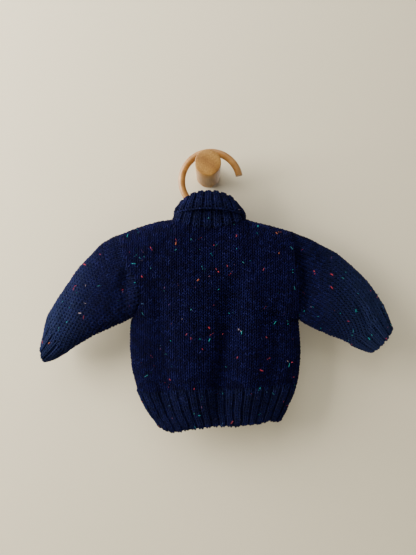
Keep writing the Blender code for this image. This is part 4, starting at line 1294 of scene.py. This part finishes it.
def beech_material():
    """Turned and oiled beech: fine flecks along the peg, faint rings on its end."""
    made, tree, shader = new_material("oiled beech")
    coords = add(tree, "ShaderNodeTexCoord").outputs["Object"]
    stretched = add(tree, "ShaderNodeMapping", {"Vector": coords, "Scale": (1.0, 0.06, 1.0)})
    grain = add(tree, "ShaderNodeTexNoise",
                {"Vector": stretched.outputs["Vector"], "Scale": per_metre(1.6), "Detail": 4.0,
                 "Roughness": 0.6}).outputs["Fac"]
    off = add(tree, "ShaderNodeMapping", {"Vector": coords, "Location": (0.024, 0.0, 0.031),
                                          "Scale": (1.0, 0.02, 1.0)})
    rings = add(tree, "ShaderNodeTexWave",
                {"Vector": off.outputs["Vector"], "Scale": per_metre(3.2) / 20, "Distortion": 2.0,
                 "Detail": 2.0, "Detail Scale": 1.5},
                wave_type="RINGS", rings_direction="Y").outputs["Fac"]
    blend = added_up(tree, 0.05, ((rings, 0.22), (grain, 0.75)))
    colour = add(tree, "ShaderNodeValToRGB", {"Fac": blend}, BEECH_COLOURS)
    bump = add(tree, "ShaderNodeBump", {"Height": grain, "Strength": 0.2, "Distance": 0.2 * MM})
    fill(tree, shader, {"Base Color": colour.outputs["Color"], "Normal": bump.outputs["Normal"],
                        "Roughness": 0.5})
    return made


def rod(name, points, tree, cane):
    mesh = bpy.data.meshes.new(name + "_path")
    mesh.from_pydata([tuple(c * MM for c in point) for point in points],
                     [(i, i + 1) for i in range(len(points) - 1)], [])
    real = grown(new_object(name + "_path", mesh), tree, Cane=cane)
    real.set_sharp_from_angle(angle=math.radians(50))
    return new_object(name, real)


def bar_height(x):
    return BAR_TOP_Z - BAR_DROP * (abs(x) / BAR_AT) ** BAR_POWER


def make_hanger():
    """A bowed cane bar, and a hook that bends round the peg and down to the bar."""
    tree, cane = rod_tree(), cane_material()
    xs = np.linspace(-BAR_HALF, BAR_HALF, 81)
    bar = rod("cane_bar", [(x, GARMENT_Y, bar_height(x)) for x in xs], tree, cane)
    line = [(HOOK_X + HOOK_RADIUS * math.cos(math.radians(d)), GARMENT_Y,
             HOOK_Z + HOOK_RADIUS * math.sin(math.radians(d)))
            for d in np.linspace(HOOK_END, HOOK_FOOT, 121)]
    x, _, z = line[-1]
    heading, down = math.radians(HOOK_FOOT + 90 - 360), math.radians(-90)
    for share in shares(8)[1:]:
        now = lerp(heading, down, share)
        line.append((x + FOOT_BEND * (math.sin(heading) - math.sin(now)), GARMENT_Y,
                     z + FOOT_BEND * (math.cos(now) - math.cos(heading))))
    x = line[-1][0]
    line.append((x, GARMENT_Y, bar_height(x) + CANE_RADIUS + SEAM))
    hold(bar, "hanger_bar")
    hold(rod("cane_hook", line, tree, cane), "hanger_hook")


def make_peg():
    """A turned round peg with a softened rim."""
    inner, rim_y = PEG_RADIUS - PEG_RIM, PEG_LENGTH - PEG_RIM
    profile = [(0, PEG_LENGTH), (PEG_RADIUS * 0.5, PEG_LENGTH), (inner, PEG_LENGTH)]
    for turn in (math.radians(degrees) for degrees in (60, 30, 0)):
        profile.append((inner + PEG_RIM * math.cos(turn), rim_y + PEG_RIM * math.sin(turn)))
    profile += [(PEG_RADIUS, PEG_LENGTH * share) for share in (0.75, 0.5, 0.25, 0.0)] + [(0, 0)]
    mesh = turned("turned_peg", profile, 72)
    mesh.transform(Matrix.Rotation(math.pi / 2, 4, "X"))
    hold(new_object("turned_peg", mesh, beech_material()), "wall_peg")


# ---- the room: camera, wall, floor and lights ----------------------------------------
def make_camera():
    lens = bpy.data.cameras.new("camera")
    lens.sensor_width = SENSOR
    lens.lens = SENSOR * FOCAL_PX / IMAGE_HEIGHT_PX
    lens.clip_start = 0.01
    camera = bpy.data.objects.new("camera", lens)
    camera.location = CAMERA_AT
    camera.rotation_euler = (math.pi / 2, 0, 0)
    bpy.context.scene.collection.objects.link(camera)
    bpy.context.scene.camera = camera


def paint_material():
    """Matte off-white wall paint, seen only from the room."""
    made, tree, shader = new_material("matte wall paint")
    coords = add(tree, "ShaderNodeTexCoord").outputs["Object"]
    roller = add(tree, "ShaderNodeTexNoise", {"Vector": coords, "Scale": 260.0, "Detail": 3.0})
    bump = add(tree, "ShaderNodeBump", {"Height": roller.outputs["Fac"], "Strength": 0.05,
                                        "Distance": 1.0 * MM})
    fill(tree, shader, {"Base Color": linear("#DAD6C4"), "Normal": bump.outputs["Normal"],
                        "Roughness": 0.85})
    behind = add(tree, "ShaderNodeNewGeometry").outputs["Backfacing"]
    clear = add(tree, "ShaderNodeBsdfTransparent")
    mixed = add(tree, "ShaderNodeMixShader", {0: behind, 1: shader.outputs[0], 2: clear.outputs[0]})
    tree.links.new(mixed.outputs[0], tree.nodes["Material Output"].inputs["Surface"])
    return made


def plane(name, corners, finish):
    mesh = bpy.data.meshes.new(name)
    mesh.from_pydata(corners, [], [(0, 1, 2, 3)])
    made = new_object(name, mesh, finish)
    return made


def make_room():
    wall = plane("wall", [(-WALL_HALF, WALL_GAP, FLOOR_Z), (WALL_HALF, WALL_GAP, FLOOR_Z),
                          (WALL_HALF, WALL_GAP, WALL_TOP), (-WALL_HALF, WALL_GAP, WALL_TOP)],
                 paint_material())
    wall.visible_shadow = False
    pale, tree, shader = new_material("pale floor")
    fill(tree, shader, {"Base Color": linear("#D8D4CA"), "Roughness": 0.8})
    half = FLOOR_HALF
    plane("floor", [(-half, -half, FLOOR_Z), (half, -half, FLOOR_Z), (half, half, FLOOR_Z),
                    (-half, half, FLOOR_Z)], pale)


def area_light(name, at, target, size, power, colour):
    data = bpy.data.lights.new(name, "AREA")
    data.shape = "RECTANGLE"
    data.size, data.size_y = size
    data.energy = power
    data.color = linear(colour)[:3]
    lamp = bpy.data.objects.new(name, data)
    lamp.location = at
    lamp.rotation_euler = (Vector(target) - Vector(at)).to_track_quat("-Z", "Y").to_euler()
    bpy.context.scene.collection.objects.link(lamp)


def make_lights():
    middle = (0.0, -0.03, -0.15)
    area_light("window", (-1.2, -0.45, 0.28), middle, (1.1, 1.1), 65.0, "#FFF3E0")
    area_light("ceiling", (-0.35, -0.8, 0.95), middle, (1.4, 1.0), 17.0, "#FFF6E6")
    area_light("behind_left", (-1.3, 1.6, 0.5), middle, (1.4, 1.4), 50.0, "#FFFFFF")
    area_light("behind_right", (1.4, 1.5, 0.2), middle, (1.4, 1.4), 26.0, "#FFFFFF")
    world = bpy.data.worlds.new("soft room")
    world.use_nodes = True
    fill(world.node_tree, world.node_tree.nodes["Background"],
         {"Color": linear("#EDEBE6"), "Strength": 0.26})
    bpy.context.scene.world = world


# ---- everything ----------------------------------------------------------------------
def main():
    make_camera()
    make_room()
    make_lights()
    wools = {"body": wool_material("tweed aran wool, knitted", WOOL_BLUES, 0.0),
             # the ribbed parts are painted a little paler all over: painted highlight
             "ribs": wool_material("tweed aran wool, ribbed, painted paler", WOOL_BLUES, 0.1, (0.07, 0.07)),
             # the sleeves are painted paler towards their ends: painted highlight
             "sleeves": wool_material("tweed aran wool, rubbed", WOOL_BLUES, 0.2, (0.04, 0.38))}
    # the shell under the stitches takes darker blues: painted shade
    lining = wool_material("tweed aran wool, painted shade under the stitches", SHADED_LINING_BLUES, 0.4)
    neps = nep_material()
    yarns = {key: Yarn(loops_tree(wool, neps), lining) for key, wool in wools.items()}
    make_panels(yarns["body"])
    make_welts(yarns["ribs"])
    make_sleeves(yarns["sleeves"])
    make_cuffs(yarns["sleeves"])
    make_collar(yarns["ribs"])
    make_bands(yarns["ribs"])
    make_buttons(wools["ribs"])
    make_hanger()
    make_peg()


main()
